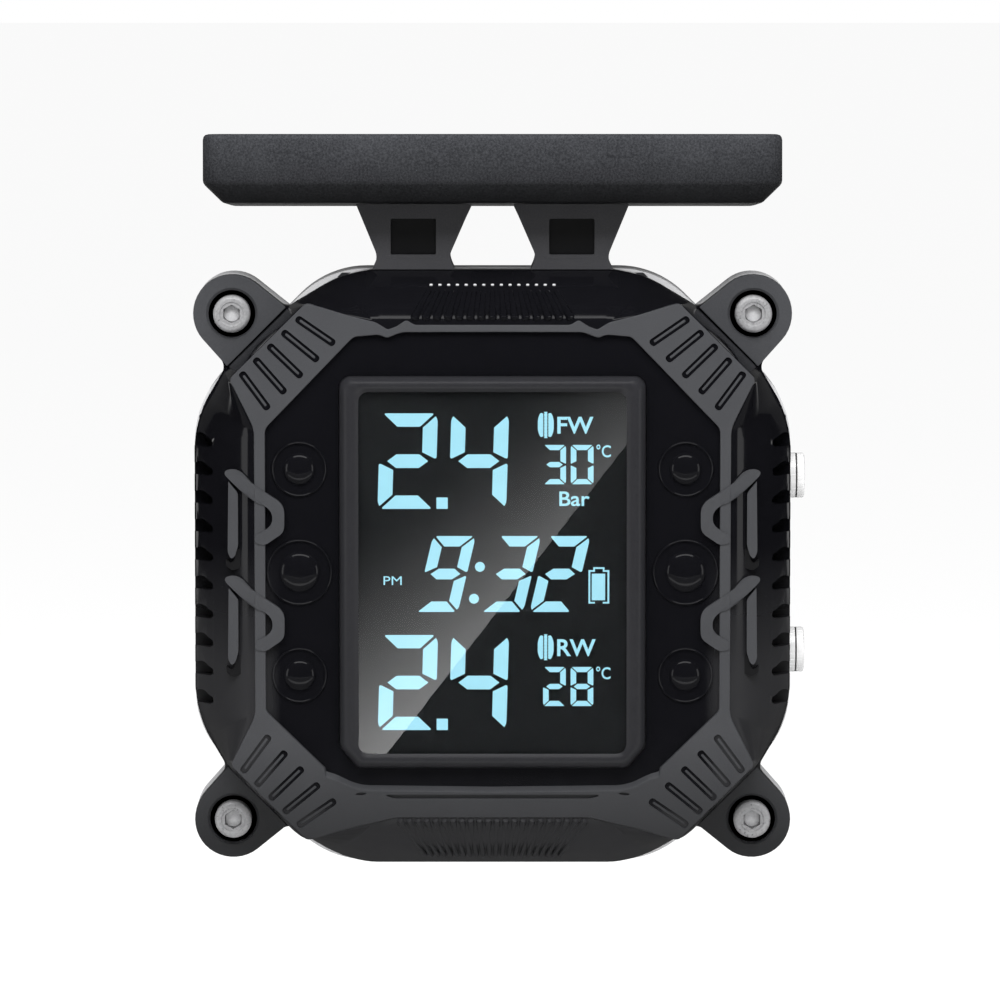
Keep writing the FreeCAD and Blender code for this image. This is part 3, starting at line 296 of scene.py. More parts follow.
@dataclass(frozen=True)
class Metal:
    """Bare or plated metal with fine tool lines, or metallic paint with flakes."""

    name: str
    dark: tuple[float, float, float]
    light: tuple[float, float, float]
    metallic: float
    roughness: float
    grain: Grain = Grain.EVEN
    line: float = 0.08
    rise: float = 0.004

    def make(self) -> bpy.types.Material:
        """Build the material and return it."""
        recipe = Recipe(self.name)
        scales = {
            Grain.ROUND: (1.0, 0.15, 1.0),
            Grain.ALONG_X: (0.06, 1.0, 1.0),
            Grain.EVEN: (1.0, 1.0, 1.0),
        }
        lines = recipe.noise(self.line, 4.0, recipe.stretched(scales[self.grain]))
        cloud = recipe.noise(2.5, 2.0)
        colour = recipe.blend(0.7 * lines + 0.3 * cloud, self.dark, self.light)
        rough = self.roughness + 0.16 * (lines - 0.5) + 0.08 * (cloud - 0.5)
        return recipe.finish({
            "Base Color": colour,
            "Roughness": rough,
            "Metallic": self.metallic,
            "Normal": recipe.bump(lines, self.rise),
        })


@dataclass(frozen=True)
class Glow:
    """A lit segment: even light with the faint unevenness of its light guide."""

    name: str
    colour: tuple[float, float, float] = (0.36, 0.72, 0.84)
    strength: float = 1.15

    def make(self) -> bpy.types.Material:
        """Build the material and return it."""
        recipe = Recipe(self.name)
        cloud = recipe.noise(3.0, 2.0)
        pale = tuple(min(1.0, part * 1.12) for part in self.colour)
        return recipe.finish({
            "Base Color": (0.02, 0.03, 0.035, 1.0),
            "Roughness": 0.5,
            "Specular IOR Level": 0.0,
            "Emission Color": recipe.blend(cloud, self.colour, pale),
            "Emission Strength": self.strength,
        })


@dataclass(frozen=True)
class Pane:
    """Clear hard sheet, with a trace of tint and polish marks."""

    name: str
    tint: tuple[float, float, float]
    roughness: float = 0.0
    specular: float = 0.5

    def make(self) -> bpy.types.Material:
        """Build the material and return it."""
        recipe = Recipe(self.name)
        polish = recipe.noise(1.2, 3.0)
        deeper = tuple(part * 0.97 for part in self.tint)
        return recipe.finish({
            "Base Color": recipe.blend(polish, self.tint, deeper),
            "Roughness": self.roughness + 0.01 * polish,
            "Transmission Weight": 1.0,
            "IOR": 1.45,
            "Specular IOR Level": self.specular,
        })


@dataclass(frozen=True)
class SolarCells:
    """Dark blue silicon with silver fingers and bus bars."""

    name: str
    bus_gap: float = 8.0
    bus_edge: Spot = (0.5, 0.7)
    finger_gap: float = 0.9
    finger_edge: Spot = (0.06, 0.12)

    def make(self) -> bpy.types.Material:
        """Build the material and return it."""
        recipe = Recipe(self.name)
        across, deep = recipe.axis(0), recipe.axis(1)
        bars = across.math("PINGPONG", across, self.bus_gap * MM)
        fine = deep.math("PINGPONG", deep, self.finger_gap * MM)
        bus = 1.0 - recipe.zone(bars, self.bus_edge)
        finger = 1.0 - recipe.zone(fine, self.finger_edge)
        crystal = recipe.noise(2.2, 1.0)
        silicon = recipe.blend(crystal, (0.005, 0.011, 0.045), (0.01, 0.026, 0.1))
        mask = bus.math("MAXIMUM", bus, 0.7 * finger)
        return recipe.finish({
            "Base Color": recipe.blend(mask, silicon, (0.6, 0.62, 0.64)),
            "Roughness": 0.25 + 0.2 * mask,
            "Metallic": 0.8 * mask,
            "Normal": recipe.bump(crystal, 0.004),
        })


class Finishes:
    """Every finish of the gauge, made once."""

    def __init__(self) -> None:
        """Build all materials."""
        satin = ((0.03, 0.031, 0.034), (0.044, 0.045, 0.049))
        recipes = {
            # Painted sheen: the cover's lower flanks and underside are painted a lighter grey.
            "gloss": GlossMoulding("cover_gloss", (0.003, 0.003, 0.0038), matt_and_painted_sheen=0.015),
            # Painted shade: the satin darkens from Z -20 mm down to 40% of its colour at Z -34 mm.
            "satin": Moulding("cover_satin", *satin, 0.42, grain=0.16, rise=0.006,
                              fade=(-34.0, -20.0), painted_shade_share=0.4),
            "bezel": Moulding("bezel_satin", (0.012, 0.012, 0.0138), (0.018, 0.018, 0.0205), 0.34,
                              grain=0.2, rise=0.003),
            "post": Moulding("post_plastic", (0.028, 0.028, 0.031), (0.044, 0.044, 0.048), 0.42,
                             grain=0.2, rise=0.006),
            # Painted shade: a near-black for the post recess floors and the side pockets, in place
            # of the shade inside them.
            "recess": Moulding("post_recess", (0.004, 0.004, 0.0045), (0.006, 0.006, 0.007), 0.55),
            # Painted shade: the tray darkens from Z 52.4 mm down to 12% of its colour at Z 43.6 mm,
            # over its front and chamfered underside.
            "tray": Moulding("tray_grain", (0.012, 0.0125, 0.0145), (0.042, 0.0435, 0.048), 0.5,
                             grain=0.24, rise=0.02, drift=0.1, specular=0.16,
                             fade=(43.6, 52.4), painted_shade_share=0.12),
            "silver": Metal("shell_silver_paint", (0.6, 0.6, 0.61), (0.74, 0.74, 0.75), 0.3,
                            0.32, line=0.12, rise=0.002),
            "bolt": Metal("bolt_turned_steel", (0.16, 0.16, 0.165), (0.56, 0.56, 0.57), 0.5, 0.3,
                          Grain.ROUND, line=0.3, rise=0.006),
            "socket": Metal("bolt_socket_steel", (0.4, 0.4, 0.41), (0.75, 0.75, 0.76), 0.3, 0.35,
                            Grain.EVEN, line=0.2),
            "button": Metal("button_brushed_steel", (0.6, 0.6, 0.6), (0.92, 0.92, 0.92), 0.25,
                            0.26, Grain.ALONG_X, line=0.25, rise=0.004),
            # Painted shade: the dark ring in each button cap's groove.
            "line": Moulding("button_groove_shade", (0.02, 0.02, 0.02), (0.04, 0.04, 0.04), 0.4),
            "brass": Metal("brass", (0.45, 0.3, 0.1), (0.6, 0.42, 0.16), 1.0, 0.3),
            "steel": Metal("zinc_steel", (0.4, 0.4, 0.41), (0.6, 0.6, 0.62), 1.0, 0.32),
            "copper": Metal("tinned_copper", (0.6, 0.35, 0.2), (0.8, 0.5, 0.3), 1.0, 0.3),
            "pouch": Metal("pouch_foil", (0.5, 0.5, 0.52), (0.66, 0.66, 0.68), 0.8, 0.42,
                           line=1.5, rise=0.08),
            "rubber": Moulding("port_rubber", (0.012, 0.012, 0.012), (0.02, 0.02, 0.021), 0.65,
                               grain=0.2, rise=0.01),
            "seal": Moulding("seal_silicone", (0.02, 0.02, 0.022), (0.03, 0.03, 0.033), 0.6),
            "white": Moulding("carrier_white", (0.66, 0.66, 0.64), (0.74, 0.74, 0.72), 0.5),
            "guide": Moulding("light_guide", (0.7, 0.78, 0.8), (0.8, 0.86, 0.88), 0.3),
            "board": Moulding("board_green", (0.008, 0.06, 0.022), (0.014, 0.1, 0.036), 0.35,
                              grain=0.6, rise=0.01),
            "chip": Moulding("chip_black", (0.014, 0.014, 0.015), (0.022, 0.022, 0.024), 0.5),
            "foam": Moulding("foam_pad", (0.2, 0.2, 0.2), (0.3, 0.3, 0.3), 0.9, grain=0.4,
                             rise=0.06),
            "lead": Moulding("lead_jacket", (0.2, 0.01, 0.01), (0.3, 0.02, 0.016), 0.4),
            "lcd": GlossMoulding("lcd_dark_glass", (0.0135, 0.0145, 0.015), 0.3, specular=0.05),
            "lens": Pane("lens_clear", (0.96, 0.97, 0.98)),
            "glass": Pane("solar_cover_clear", (0.9, 0.92, 0.95), 0.04),
            "cells": SolarCells("solar_silicon"),
            "glow": Glow("segment_light"),
        }
        self.made = {key: recipe.make() for key, recipe in recipes.items()}

    def dress(self, piece: bpy.types.Object, finish: str, slot: str) -> None:
        """Give a piece one finish."""
        piece.data.materials.clear()
        piece.data.materials.append(self.made[finish])


# --------------------------------------------------------------------------
# Mesh building
# --------------------------------------------------------------------------

def flipped(corners: Sequence[Corner], side: float, level: float) -> list[Corner]:
    """Return corners mirrored in X and Z by the signs given."""
    return [(x * side, z * level, soft) for x, z, soft in corners]


def around(quarter: Sequence[Corner], lower: "Sequence[Corner] | None" = None) -> list[Corner]:
    """Close a quarter outline, from top middle to right middle, into a whole one.

    Args:
        quarter: corners of the upper right quarter.
        lower: corners of the lower right quarter with Z positive, or None for the same.

    Returns:
        All the corners, once round.
    """
    below = quarter if lower is None else lower
    right = list(quarter) + flipped(below, 1, -1)[::-1]
    return right + flipped(right, -1, 1)[::-1]


def moved(corners: Sequence[Corner], right: float, up: float) -> list[Corner]:
    """Return corners moved right and up."""
    return [(x + right, z + up, soft) for x, z, soft in corners]


def rectangle(left: float, low: float, right: float, high: float,
              soft: float = 0.0) -> list[Corner]:
    """Return a rectangle's corners, from the lower left one on."""
    return [(left, low, soft), (right, low, soft), (right, high, soft), (left, high, soft)]


def polygon(x: float, z: float, radius: float, sides: int, start: float = 0.0) -> list[Corner]:
    """Return a regular polygon's corners, the first of them at a start angle in degrees."""
    turns = [math.radians(start + 360 * step / sides) for step in range(sides)]
    return [(x + radius * math.cos(turn), z + radius * math.sin(turn), 0.0) for turn in turns]


def mesh_data(name: str, mesh: bmesh.types.BMesh) -> bpy.types.Mesh:
    """Return a mesh under construction as data, and free it."""
    data = bpy.data.meshes.new(name)
    mesh.to_mesh(data)
    mesh.free()
    return data


def smoothed(data: bpy.types.Mesh, degrees: float) -> None:
    """Shade a mesh smooth; edges sharper than this many degrees stay hard."""
    data.shade_smooth()
    data.set_sharp_from_angle(angle=math.radians(degrees))


def placed(name: str, data: Any) -> bpy.types.Object:
    """Return a new object that holds the data and stands in the scene."""
    item = bpy.data.objects.new(name, data)
    bpy.context.scene.collection.objects.link(item)
    return item


class Shape:
    """A mesh under construction, in millimetres; depth runs towards the viewer."""

    def __init__(self) -> None:
        """Start empty."""
        self.mesh = bmesh.new()

    def face(self, corners: Sequence[Corner], depth: float, steps: int = 4) -> bmesh.types.BMFace:
        """Draw a flat outline whose corners are rounded.

        Args:
            corners: (x, z, cut) with cut the distance from the corner to where its curve starts.
            depth: the outline's depth.
            steps: facets in each rounded corner.

        Returns:
            The face.
        """
        known = set(self.mesh.faces)
        points = [self.mesh.verts.new((x, -depth, z)) for x, z, _ in corners]
        self.mesh.faces.new(points)
        for point, (_, _, soft) in zip(points, corners):
            if soft > 0:
                self.soften([point], soft, steps, "VERTICES")
        return next(item for item in self.mesh.faces if item not in known)

    def soften(self, parts: list[Any], size: float, facets: int, affect: str = "EDGES") -> None:
        """Round edges or vertices.

        Args:
            parts: the edges or vertices.
            size: how far from each the rounding starts.
            facets: facets in the rounding.
            affect: "EDGES" or "VERTICES".
        """
        bmesh.ops.bevel(self.mesh, geom=parts, offset=size, offset_type="OFFSET",
                        segments=facets, profile=0.5, affect=affect,
                        clamp_overlap=affect == "EDGES", material=-1)

    def loop(self, corners: Sequence[Corner], depth: float, steps: int = 4) -> Edges:
        """Draw the same outline as edges only and return them."""
        face = self.face(corners, depth, steps)
        edges = list(face.edges)
        bmesh.ops.delete(self.mesh, geom=[face], context="FACES_ONLY")
        return edges

    def bridge(self, first: Edges, second: Edges) -> None:
        """Join two outlines that have the same number of edges."""
        bmesh.ops.bridge_loops(self.mesh, edges=first + second)

    def fill(self, first: Edges, second: Edges) -> None:
        """Close the flat region between an outline and a smaller one."""
        bmesh.ops.triangle_fill(self.mesh, use_beauty=True, use_dissolve=False,
                                edges=first + second)

    def slab(self, corners: Sequence[Corner], low: float, high: float, edge: float = 0.0,
             steps: int = 4, bevels: int = 2) -> list[bmesh.types.BMVert]:
        """Raise an outline into a plate with softened front edges.

        Args:
            corners: the outline, as for face().
            low: depth of the plate's back.
            high: depth of its front.
            edge: size of the softening.
            steps: facets in each rounded corner.
            bevels: facets in the softened edge.

        Returns:
            The vertices of the front face before it is softened.
        """
        face = self.face(corners, low, steps)
        result = bmesh.ops.extrude_face_region(self.mesh, geom=[face], use_keep_orig=True)
        front = [item for item in result["geom"] if isinstance(item, bmesh.types.BMVert)]
        bmesh.ops.translate(self.mesh, verts=front, vec=(0.0, low - high, 0.0))
        if edge > 0:
            top = next(item for item in result["geom"] if isinstance(item, bmesh.types.BMFace))
            self.soften(list(top.edges), edge, bevels)
        return front

    def lathe(self, profile: Sequence[Spot], centre: Vector, axis: Vector, steps: int = 48) -> None:
        """Turn a profile about an axis.

        Args:
            profile: (radius, distance along the axis) from one end to the other.
            centre: a point on the axis where the distance is 0.
            axis: the axis's direction.
            steps: facets once round.
        """
        side = axis.orthogonal().normalized()
        points = [self.mesh.verts.new(centre + side * radius + axis * along)
                  for radius, along in profile]
        edges = [self.mesh.edges.new(pair) for pair in zip(points, points[1:])]
        bmesh.ops.spin(self.mesh, geom=points + edges, cent=centre, axis=axis,
                       angle=math.tau, steps=steps, use_merge=True)
        bmesh.ops.remove_doubles(self.mesh, verts=self.mesh.verts, dist=1e-4)

    def rod(self, start: Vector, end: Vector, first: float, second: float, steps: int = 10) -> None:
        """Add a round tapered rod with softened ends between two points."""
        axis = (end - start).normalized()
        length = (end - start).length
        profile = [(0.0, -first * 0.8), (first * 0.75, -first * 0.5), (first, 0.0),
                   (second, length), (second * 0.75, length + second * 0.5),
                   (0.0, length + second * 0.8)]
        self.lathe(profile, start, axis, steps)

    def half_to_whole(self) -> None:
        """Mirror the right half across X = 0 and weld it to its copy."""
        inner = [face for face in self.mesh.faces
                 if all(abs(point.co.x) < 1e-5 for point in face.verts)]
        bmesh.ops.delete(self.mesh, geom=inner, context="FACES")
        everything = self.mesh.verts[:] + self.mesh.edges[:] + self.mesh.faces[:]
        bmesh.ops.mirror(self.mesh, geom=everything, axis="X", merge_dist=1e-3)
        bmesh.ops.remove_doubles(self.mesh, verts=self.mesh.verts, dist=1e-4)

    def piece(self, name: str, smooth: float = 32.0) -> bpy.types.Object:
        """Close the mesh and return it as an object in metres.

        Args:
            name: the object's name.
            smooth: edges sharper than this many degrees stay hard.

        Returns:
            The new object, at the origin.
        """
        bmesh.ops.recalc_face_normals(self.mesh, faces=self.mesh.faces)
        bmesh.ops.transform(self.mesh, matrix=Matrix.Scale(MM, 4), verts=self.mesh.verts)
        data = mesh_data(name, self.mesh)
        smoothed(data, smooth)
        return placed(name, data)


def carve(target: bpy.types.Object, tool: bpy.types.Object, smooth: float = 32.0) -> None:
    """Cut one solid out of another and remove the tool.

    Args:
        target: the piece that stays.
        tool: the solid to take away; it may be many separate solids.
        smooth: edges sharper than this many degrees stay hard.
    """
    cutter = target.modifiers.new("cut", "BOOLEAN")
    cutter.operation, cutter.solver, cutter.object = "DIFFERENCE", "EXACT", tool
    graph = bpy.context.evaluated_depsgraph_get()
    result = bpy.data.meshes.new_from_object(target.evaluated_get(graph))
    target.modifiers.clear()
    result.name = target.name
    target.data = result
    smoothed(result, smooth)
    bpy.data.objects.remove(tool)


@dataclass
class Workshop:
    """Settles each finished piece on its body, with its finish."""

    finishes: Finishes

    def keep(self, piece: bpy.types.Object, finish: str, slot: str, body: str = "housing",
             stands_for: Sequence[str] = ()) -> None:
        """Dress a piece and let it ride on a body.

        Args:
            piece: the finished piece.
            finish: the key of its finish.
            slot: the record's material slot; not used.
            body: the body it moves with.
            stands_for: CAD nodes that it replaces.
        """
        self.finishes.dress(piece, finish, slot)
        flat = piece.modifiers.new("even_flats", "WEIGHTED_NORMAL")
        flat.keep_sharp = True
        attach(piece, body)
        if stands_for:
            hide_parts(*stands_for)
        LOG.info("%s: %d faces, %s", piece.name, len(piece.data.polygons), finish)


# --------------------------------------------------------------------------
# Front cover
# --------------------------------------------------------------------------

@dataclass
class CoverMoulding:
    """The black cover: base plate, sloping body, panel, ridge, ears, domes and vents."""

    workshop: Workshop
    parting: float = 12.9
    ear_front: float = 15.4
    panel: float = 21.7
    crest: float = 22.2
    ridge: float = 22.4
    ceiling: float = 20.0
    plate: tuple[Corner, ...] = (
        (17.5, 36.2, 3.4), (24.85, 31.47, 1.0), (32.03, 37.22, 4.3), (37.98, 30.96, 4.3),
        (32.3, 24.55, 1.0), (36.2, 17.9, 3.4),
    )
    low: tuple[Corner, ...] = (
        (17.5, 36.15, 3.3), (24.6, 31.9, 0.8), (32.2, 24.4, 0.8), (36.15, 17.7, 3.3))
    high: tuple[Corner, ...] = (
        (13.9, 30.2, 0.45), (22.6, 32.6, 0.85), (31.7, 23.4, 0.85), (28.8, 17.0, 0.45))
    rise: tuple[Spot, ...] = (
        (0.0, 0.0), (0.02, 0.06), (0.07, 0.13), (0.2, 0.33), (0.35, 0.52), (0.52, 0.69),
        (0.72, 0.85), (0.88, 0.95), (1.0, 1.0))
    panel_edge: tuple[Corner, ...] = ((16.2, 29.0, 0.3), (27.4, 17.6, 0.3))
    hollow_low: tuple[Corner, ...] = ((16.0, 31.4, 0.5), (31.4, 16.0, 0.5))
    hollow_high: tuple[Corner, ...] = ((13.2, 27.0, 0.5), (27.0, 13.2, 0.5))

    def build(self) -> None:
        """Make every piece of the cover."""
        self.build_plate()
        self.build_body()
        self.build_ears()
        self.build_ridge()
        self.build_domes()
        self.build_motifs()
        self.build_vents()

    def build_plate(self) -> None:
        """The flat base with its four ears, bored for the bolts."""
        shape = Shape()
        back = shape.loop(around(self.plate), self.parting, 8)
        front = shape.loop(around(self.plate), self.ear_front - 0.4, 8)
        inner_back = shape.loop(around(self.hollow_low), self.parting)
        inner_front = shape.loop(around(self.hollow_low), self.ear_front - 0.4)
        shape.bridge(back, front)
        shape.bridge(inner_back, inner_front)
        shape.fill(back, inner_back)
        shape.fill(front, inner_front)
        plate = shape.piece("cover_base_plate")
        carve(plate, self.counterbores("plate_bores"))
        carve(plate, self.side_notches())
        self.workshop.keep(plate, "gloss", "cover_black", stands_for=("front_cover",))

    def counterbores(self, name: str) -> bpy.types.Object:
        """Return the four stepped bores round the ear bolts, as one cutter."""
        shape = Shape()
        profile = ((0.0, 0.0), (1.45, 0.0), (1.45, 1.4), (2.85, 1.4), (2.85, 2.55), (3.4, 3.2),
                   (3.4, 5.0), (0.0, 5.0))
        for side, level in QUARTERS:
            centre = Vector((EAR_CENTRE[0] * side, -12.5, EAR_CENTRE[1] * level))
            shape.lathe(profile, centre, FRONT)
        return shape.piece(name)

    def section(self, part: float, lift: float) -> tuple[list[Corner], float]:
        """Return the body's outline and depth, part of the way in and up."""
        quarter = [tuple(a + (b - a) * part for a, b in zip(first, second))
                   for first, second in zip(self.low, self.high)]
        start = self.ear_front - 0.6
        return around(quarter), start + (self.crest - start) * lift

    def opening(self) -> list[Corner]:
        """Return the opening that the bezel stands in, a hair wider than the bezel."""
        return Display(self.workshop).bezel_outline(-0.05)

    def build_body(self) -> None:
        """The gloss body: sloping sides, a sunken panel with its opening, and the hollow."""
        shape = Shape()
        sections = [shape.loop(*self.section(part, lift)) for part, lift in self.rise]
        for first, second in zip(sections, sections[1:]):
            shape.bridge(first, second)
        rim = shape.loop(around(self.panel_edge), self.crest)
        sunk = shape.loop(around(self.panel_edge), self.panel)
        mouth = shape.loop(self.opening(), self.panel)
        throat = shape.loop(self.opening(), self.ceiling)
        roof = shape.loop(around(self.hollow_high), self.ceiling)
        floor = shape.loop(around(self.hollow_low), self.ear_front - 0.6)
        shape.fill(sections[-1], rim)
        shape.bridge(rim, sunk)
        shape.fill(sunk, mouth)
        shape.bridge(mouth, throat)
        shape.fill(throat, roof)
        shape.bridge(roof, floor)
        shape.fill(floor, sections[0])
        body = shape.piece("cover_body", 40.0)
        carve(body, self.side_notches(), 40.0)
        self.workshop.keep(body, "gloss", "cover_black")

    def side_notches(self) -> bpy.types.Object:
        """Return ten recesses a side, humped at their outer end, as one cutter."""
        notch = ((38.0, 0.55, 0.0), (36.0, 0.62, 0.2), (35.4, 0.87, 0.3), (34.9, 0.72, 0.2),
                 (34.4, 0.28, 0.2), (33.95, 0.08, 0.08), (33.82, -0.5, 0.2),
                 (34.15, -0.82, 0.2), (38.0, -0.87, 0.0))
        shape = Shape()
        for side in SIDES:
            for step in range(10):
                corners = moved(notch, 0.0, 3.48 * (step - 4.5))
                shape.slab(flipped(corners, side, 1), 14.4, 23.0, steps=2)
        return shape.piece("side_notch_tool")

    def build_ears(self) -> None:
        """Satin caps on the ears, with a chamfered recess round each bolt."""
        outline = ((25.05, 31.62, 0.1), (32.04, 37.25, 4.32), (38.0, 30.97, 4.32),
                   (32.2, 24.45, 0.1))
        shape = Shape()
        for side, level in QUARTERS:
            shape.slab(flipped(outline, side, level), 13.3, self.ear_front, 0.35, 10, 3)
        caps = shape.piece("ear_caps")
        carve(caps, self.counterbores("cap_bores"))
        self.workshop.keep(caps, "satin", "cover_black")

    def build_ridge(self) -> None:
        """The satin ridge: strips round the panel and a slotted pad across each corner."""
        outline: list[Corner] = [
            (0.0, 29.95, 0.0), (9.4, 29.95, 0.3), (10.35, 30.55, 0.3), (11.6, 29.75, 0.2),
            (12.6, 29.38, 0.2), (14.0, 30.25, 0.4), (17.4, 31.1, 0.8), (21.0, 32.2, 0.8),
            (22.5, 32.55, 0.45), (31.7, 23.4, 0.5), (29.9, 19.8, 0.8), (28.75, 17.4, 0.8),
            (28.7, -17.4, 0.8), (29.9, -19.8, 0.8), (31.7, -23.4, 0.5), (22.5, -32.55, 0.45),
            (21.0, -32.2, 0.8), (17.4, -31.1, 0.8), (13.4, -30.2, 0.6), (11.8, -29.8, 0.4),
            (0.0, -29.8, 0.0),
            (0.0, -25.7, 0.0), (16.2, -25.5, 1.2), (19.0, -24.15, 0.5), (20.1, -23.85, 0.3),
            (27.35, -16.8, 0.4), (27.4, 17.4, 0.5), (16.7, 28.5, 0.4), (13.7, 28.75, 0.3),
            (12.7, 28.35, 0.3), (10.9, 29.05, 0.4), (0.0, 29.08, 0.0),
        ]
        shape = Shape()
        front = shape.slab(outline, self.panel - 0.4, self.ridge, steps=3)
        ledge = [point for point in front if point.co.x < 20.3 and -25.8 < point.co.z < -23.7]
        bmesh.ops.translate(shape.mesh, verts=ledge, vec=(0.0, 0.0, -1.0))
        rim = {edge for point in front for edge in point.link_edges
               if all(abs(end.co.y + self.ridge) < 1e-5 for end in edge.verts)
               and not all(abs(end.co.x) < 1e-5 for end in edge.verts)}
        shape.soften(list(rim), 0.2, 2)
        shape.half_to_whole()
        ridge = shape.piece("ridge_and_pads")
        carve(ridge, self.ridge_cuts())
        self.workshop.keep(ridge, "satin", "cover_black")
        ribs = Shape()
        for corners in self.slot_outlines(4.6, 0.34):
            ribs.slab(corners, self.panel - 0.1, self.ridge - 0.12, 0.12, 3)
        self.workshop.keep(ribs.piece("pad_slot_ribs"), "satin", "cover_black")

    def slot_outlines(self, length: float, width: float) -> list[list[Corner]]:
        """Return outlines of the fanned pad slots, five to a pad, of a length and width."""
        outlines = []
        for side, level in QUARTERS:
            for step in range(-2, 3):
                angle = math.radians(44 + 4.8 * step)
                x, z = 24.95 + 1.83 * step, 25.6 - 1.8 * step
                along = Vector((math.cos(angle), math.sin(angle))) * (length / 2)
                over = Vector((-math.sin(angle), math.cos(angle))) * (width / 2)
                ends = [along + over, along - over, -along - over, -along + over]
                corners = [(x + end.x, z + end.y, width * 0.42) for end in ends]
                outlines.append(flipped(corners, side, level))
        return outlines

    def ridge_cuts(self) -> bpy.types.Object:
        """Return the pad slots, the lower groove and its dimples, as one cutter."""
        shape = Shape()
        for corners in self.slot_outlines(5.6, 0.95):
            shape.slab(corners, self.ridge - 0.6, self.ridge + 1.0, steps=3)
        groove = [(-12.7, -26.95, 0.2), (12.7, -26.95, 0.2), (12.9, -27.1, 0.1),
                  (11.9, -27.42, 0.3), (-11.9, -27.42, 0.3), (-12.9, -27.1, 0.1)]
        shape.slab(groove, self.ridge - 0.35, self.ridge + 1.0, steps=3)
        for side in SIDES:
            dimple = [(15.1, -26.85, 0.2), (15.7, -26.65, 0.2), (16.4, -26.75, 0.2),
                      (16.6, -26.95, 0.15), (16.0, -27.05, 0.3)]
            shape.slab(flipped(dimple, side, 1), self.ridge - 0.3, self.ridge + 1.0, steps=3)
        return shape.piece("ridge_tool")

    def build_domes(self) -> None:
        """Three turned domes in their rings on each side of the display."""
        small = ((0.0, 0.72), (0.6, 0.7), (1.2, 0.6), (1.65, 0.4), (1.95, 0.12), (2.08, -0.1),
                 (2.2, -0.14), (2.75, -0.14), (2.95, -0.02), (3.08, 0.2), (3.2, 0.26),
                 (3.32, 0.2), (3.42, -0.1))
        large = tuple((radius * 1.24 if radius < 2.5 else radius + 0.66, rise)
                      for radius, rise in small)
        for side, name in SIDES.items():
            shape = Shape()
            for level, profile in ((-1, small), (0, large), (1, small)):
                centre = Vector((23.3 * side, -self.panel, 12.5 * level))
                outer = profile[-1][0]
                shape.lathe((*profile, (outer, -0.4), (0.0, -0.4)), centre, FRONT, 64)
            self.workshop.keep(shape.piece(f"{name}_panel_domes", 50.0), "gloss", "cover_black")

    def build_motifs(self) -> None:
        """Two bars and two loops on each side strip, with their pockets as near-black sheets of
        painted shade.
        """
        loop = ((30.3, 12.25, 0.6), (31.6, 12.6, 0.6), (32.5, 12.1, 0.5), (31.75, 11.2, 0.5),
                (30.2, 9.7, 0.8), (28.3, 8.4, 0.3), (27.7, 8.25, 0.2), (26.75, 7.6, 0.5),
                (26.45, 6.6, 0.5), (26.75, 5.6, 0.5), (27.75, 5.0, 0.2), (28.6, 4.6, 0.4),
                (28.7, 3.6, 0.4), (27.4, 3.35, 0.4), (25.35, 4.75, 0.4), (25.1, 5.4, 0.4),
                (25.1, 7.6, 0.4), (25.5, 8.5, 0.5), (27.4, 9.75, 0.6), (28.7, 10.6, 0.6))
        bar = ((31.85, 11.0, 0.1), (31.95, 2.4, 0.3), (31.55, 1.6, 0.25), (31.1, 1.9, 0.3),
               (30.7, 3.2, 0.3), (30.7, 9.6, 0.3))
        pocket = ((31.0, 2.6, 0.3), (30.2, 3.0, 0.2), (28.9, 3.6, 0.2), (28.4, 2.9, 0.3),
                  (28.9, 1.2, 0.3), (30.4, 0.5, 0.4), (31.4, 0.15, 0.3), (32.15, 0.7, 0.2),
                  (32.2, 1.6, 0.2), (31.55, 1.05, 0.2), (31.15, 1.5, 0.2))
        loops, bars, pockets = Shape(), Shape(), Shape()
        for side in SIDES:
            for shift in (0.0, -12.9):
                here = [flipped(moved(corners, 0.0, shift), side, 1)
                        for corners in (loop, bar, pocket)]
                front = loops.slab(here[0], self.panel - 0.3, self.ridge + 0.12, steps=3)
                outer = [point for point in front if abs(point.co.x) > 29.6]
                bmesh.ops.translate(loops.mesh, verts=outer, vec=(0.0, 0.75, 0.0))
                bars.slab(here[1], 19.5, 21.75, 0.22, 3)
                # Painted shade: each pocket is a near-black sheet standing in for the shade in a
                # recess.
                pockets.slab(here[2], 20.2, 21.35, 0.1, 3)
        self.workshop.keep(loops.piece("side_loops"), "satin", "cover_black")
        self.workshop.keep(bars.piece("side_bars"), "satin", "cover_black")
        self.workshop.keep(pockets.piece("side_pockets"), "recess", "cover_black")

    def build_vents(self) -> None:
        """Fanned ribs over and under the panel, and the row of beads over the top ones, whose pale
        steel colour is a painted glint.
        """
        ribs, beads, lower = Shape(), Shape(), Shape()
        for row in range(-7, 8):
            ribs.rod(Vector((row * 1.34, -21.9, 30.75)), Vector((row * 1.1, -19.0, 33.7)),
                     0.55, 0.34)
            beads.rod(Vector((row * 1.06 - 0.1, -18.05, 34.5)),
                      Vector((row * 1.06 + 0.1, -18.05, 34.5)), 0.14, 0.14)
        for step in range(22):
            row = step - 10.5
            lower.rod(Vector((row * 1.06, -22.12, -30.2)), Vector((row * 0.78, -17.75, -35.0)),
                      0.46, 0.3)
        self.workshop.keep(ribs.piece("top_vent_ribs"), "gloss", "cover_black")
        # Painted glint: the black beads take a pale steel finish so that they show as bright dots.
        self.workshop.keep(beads.piece("top_vent_beads_painted_glint"), "socket", "cover_black")
        self.workshop.keep(lower.piece("bottom_vent_ribs"), "gloss", "cover_black")


# --------------------------------------------------------------------------
# Display
# --------------------------------------------------------------------------

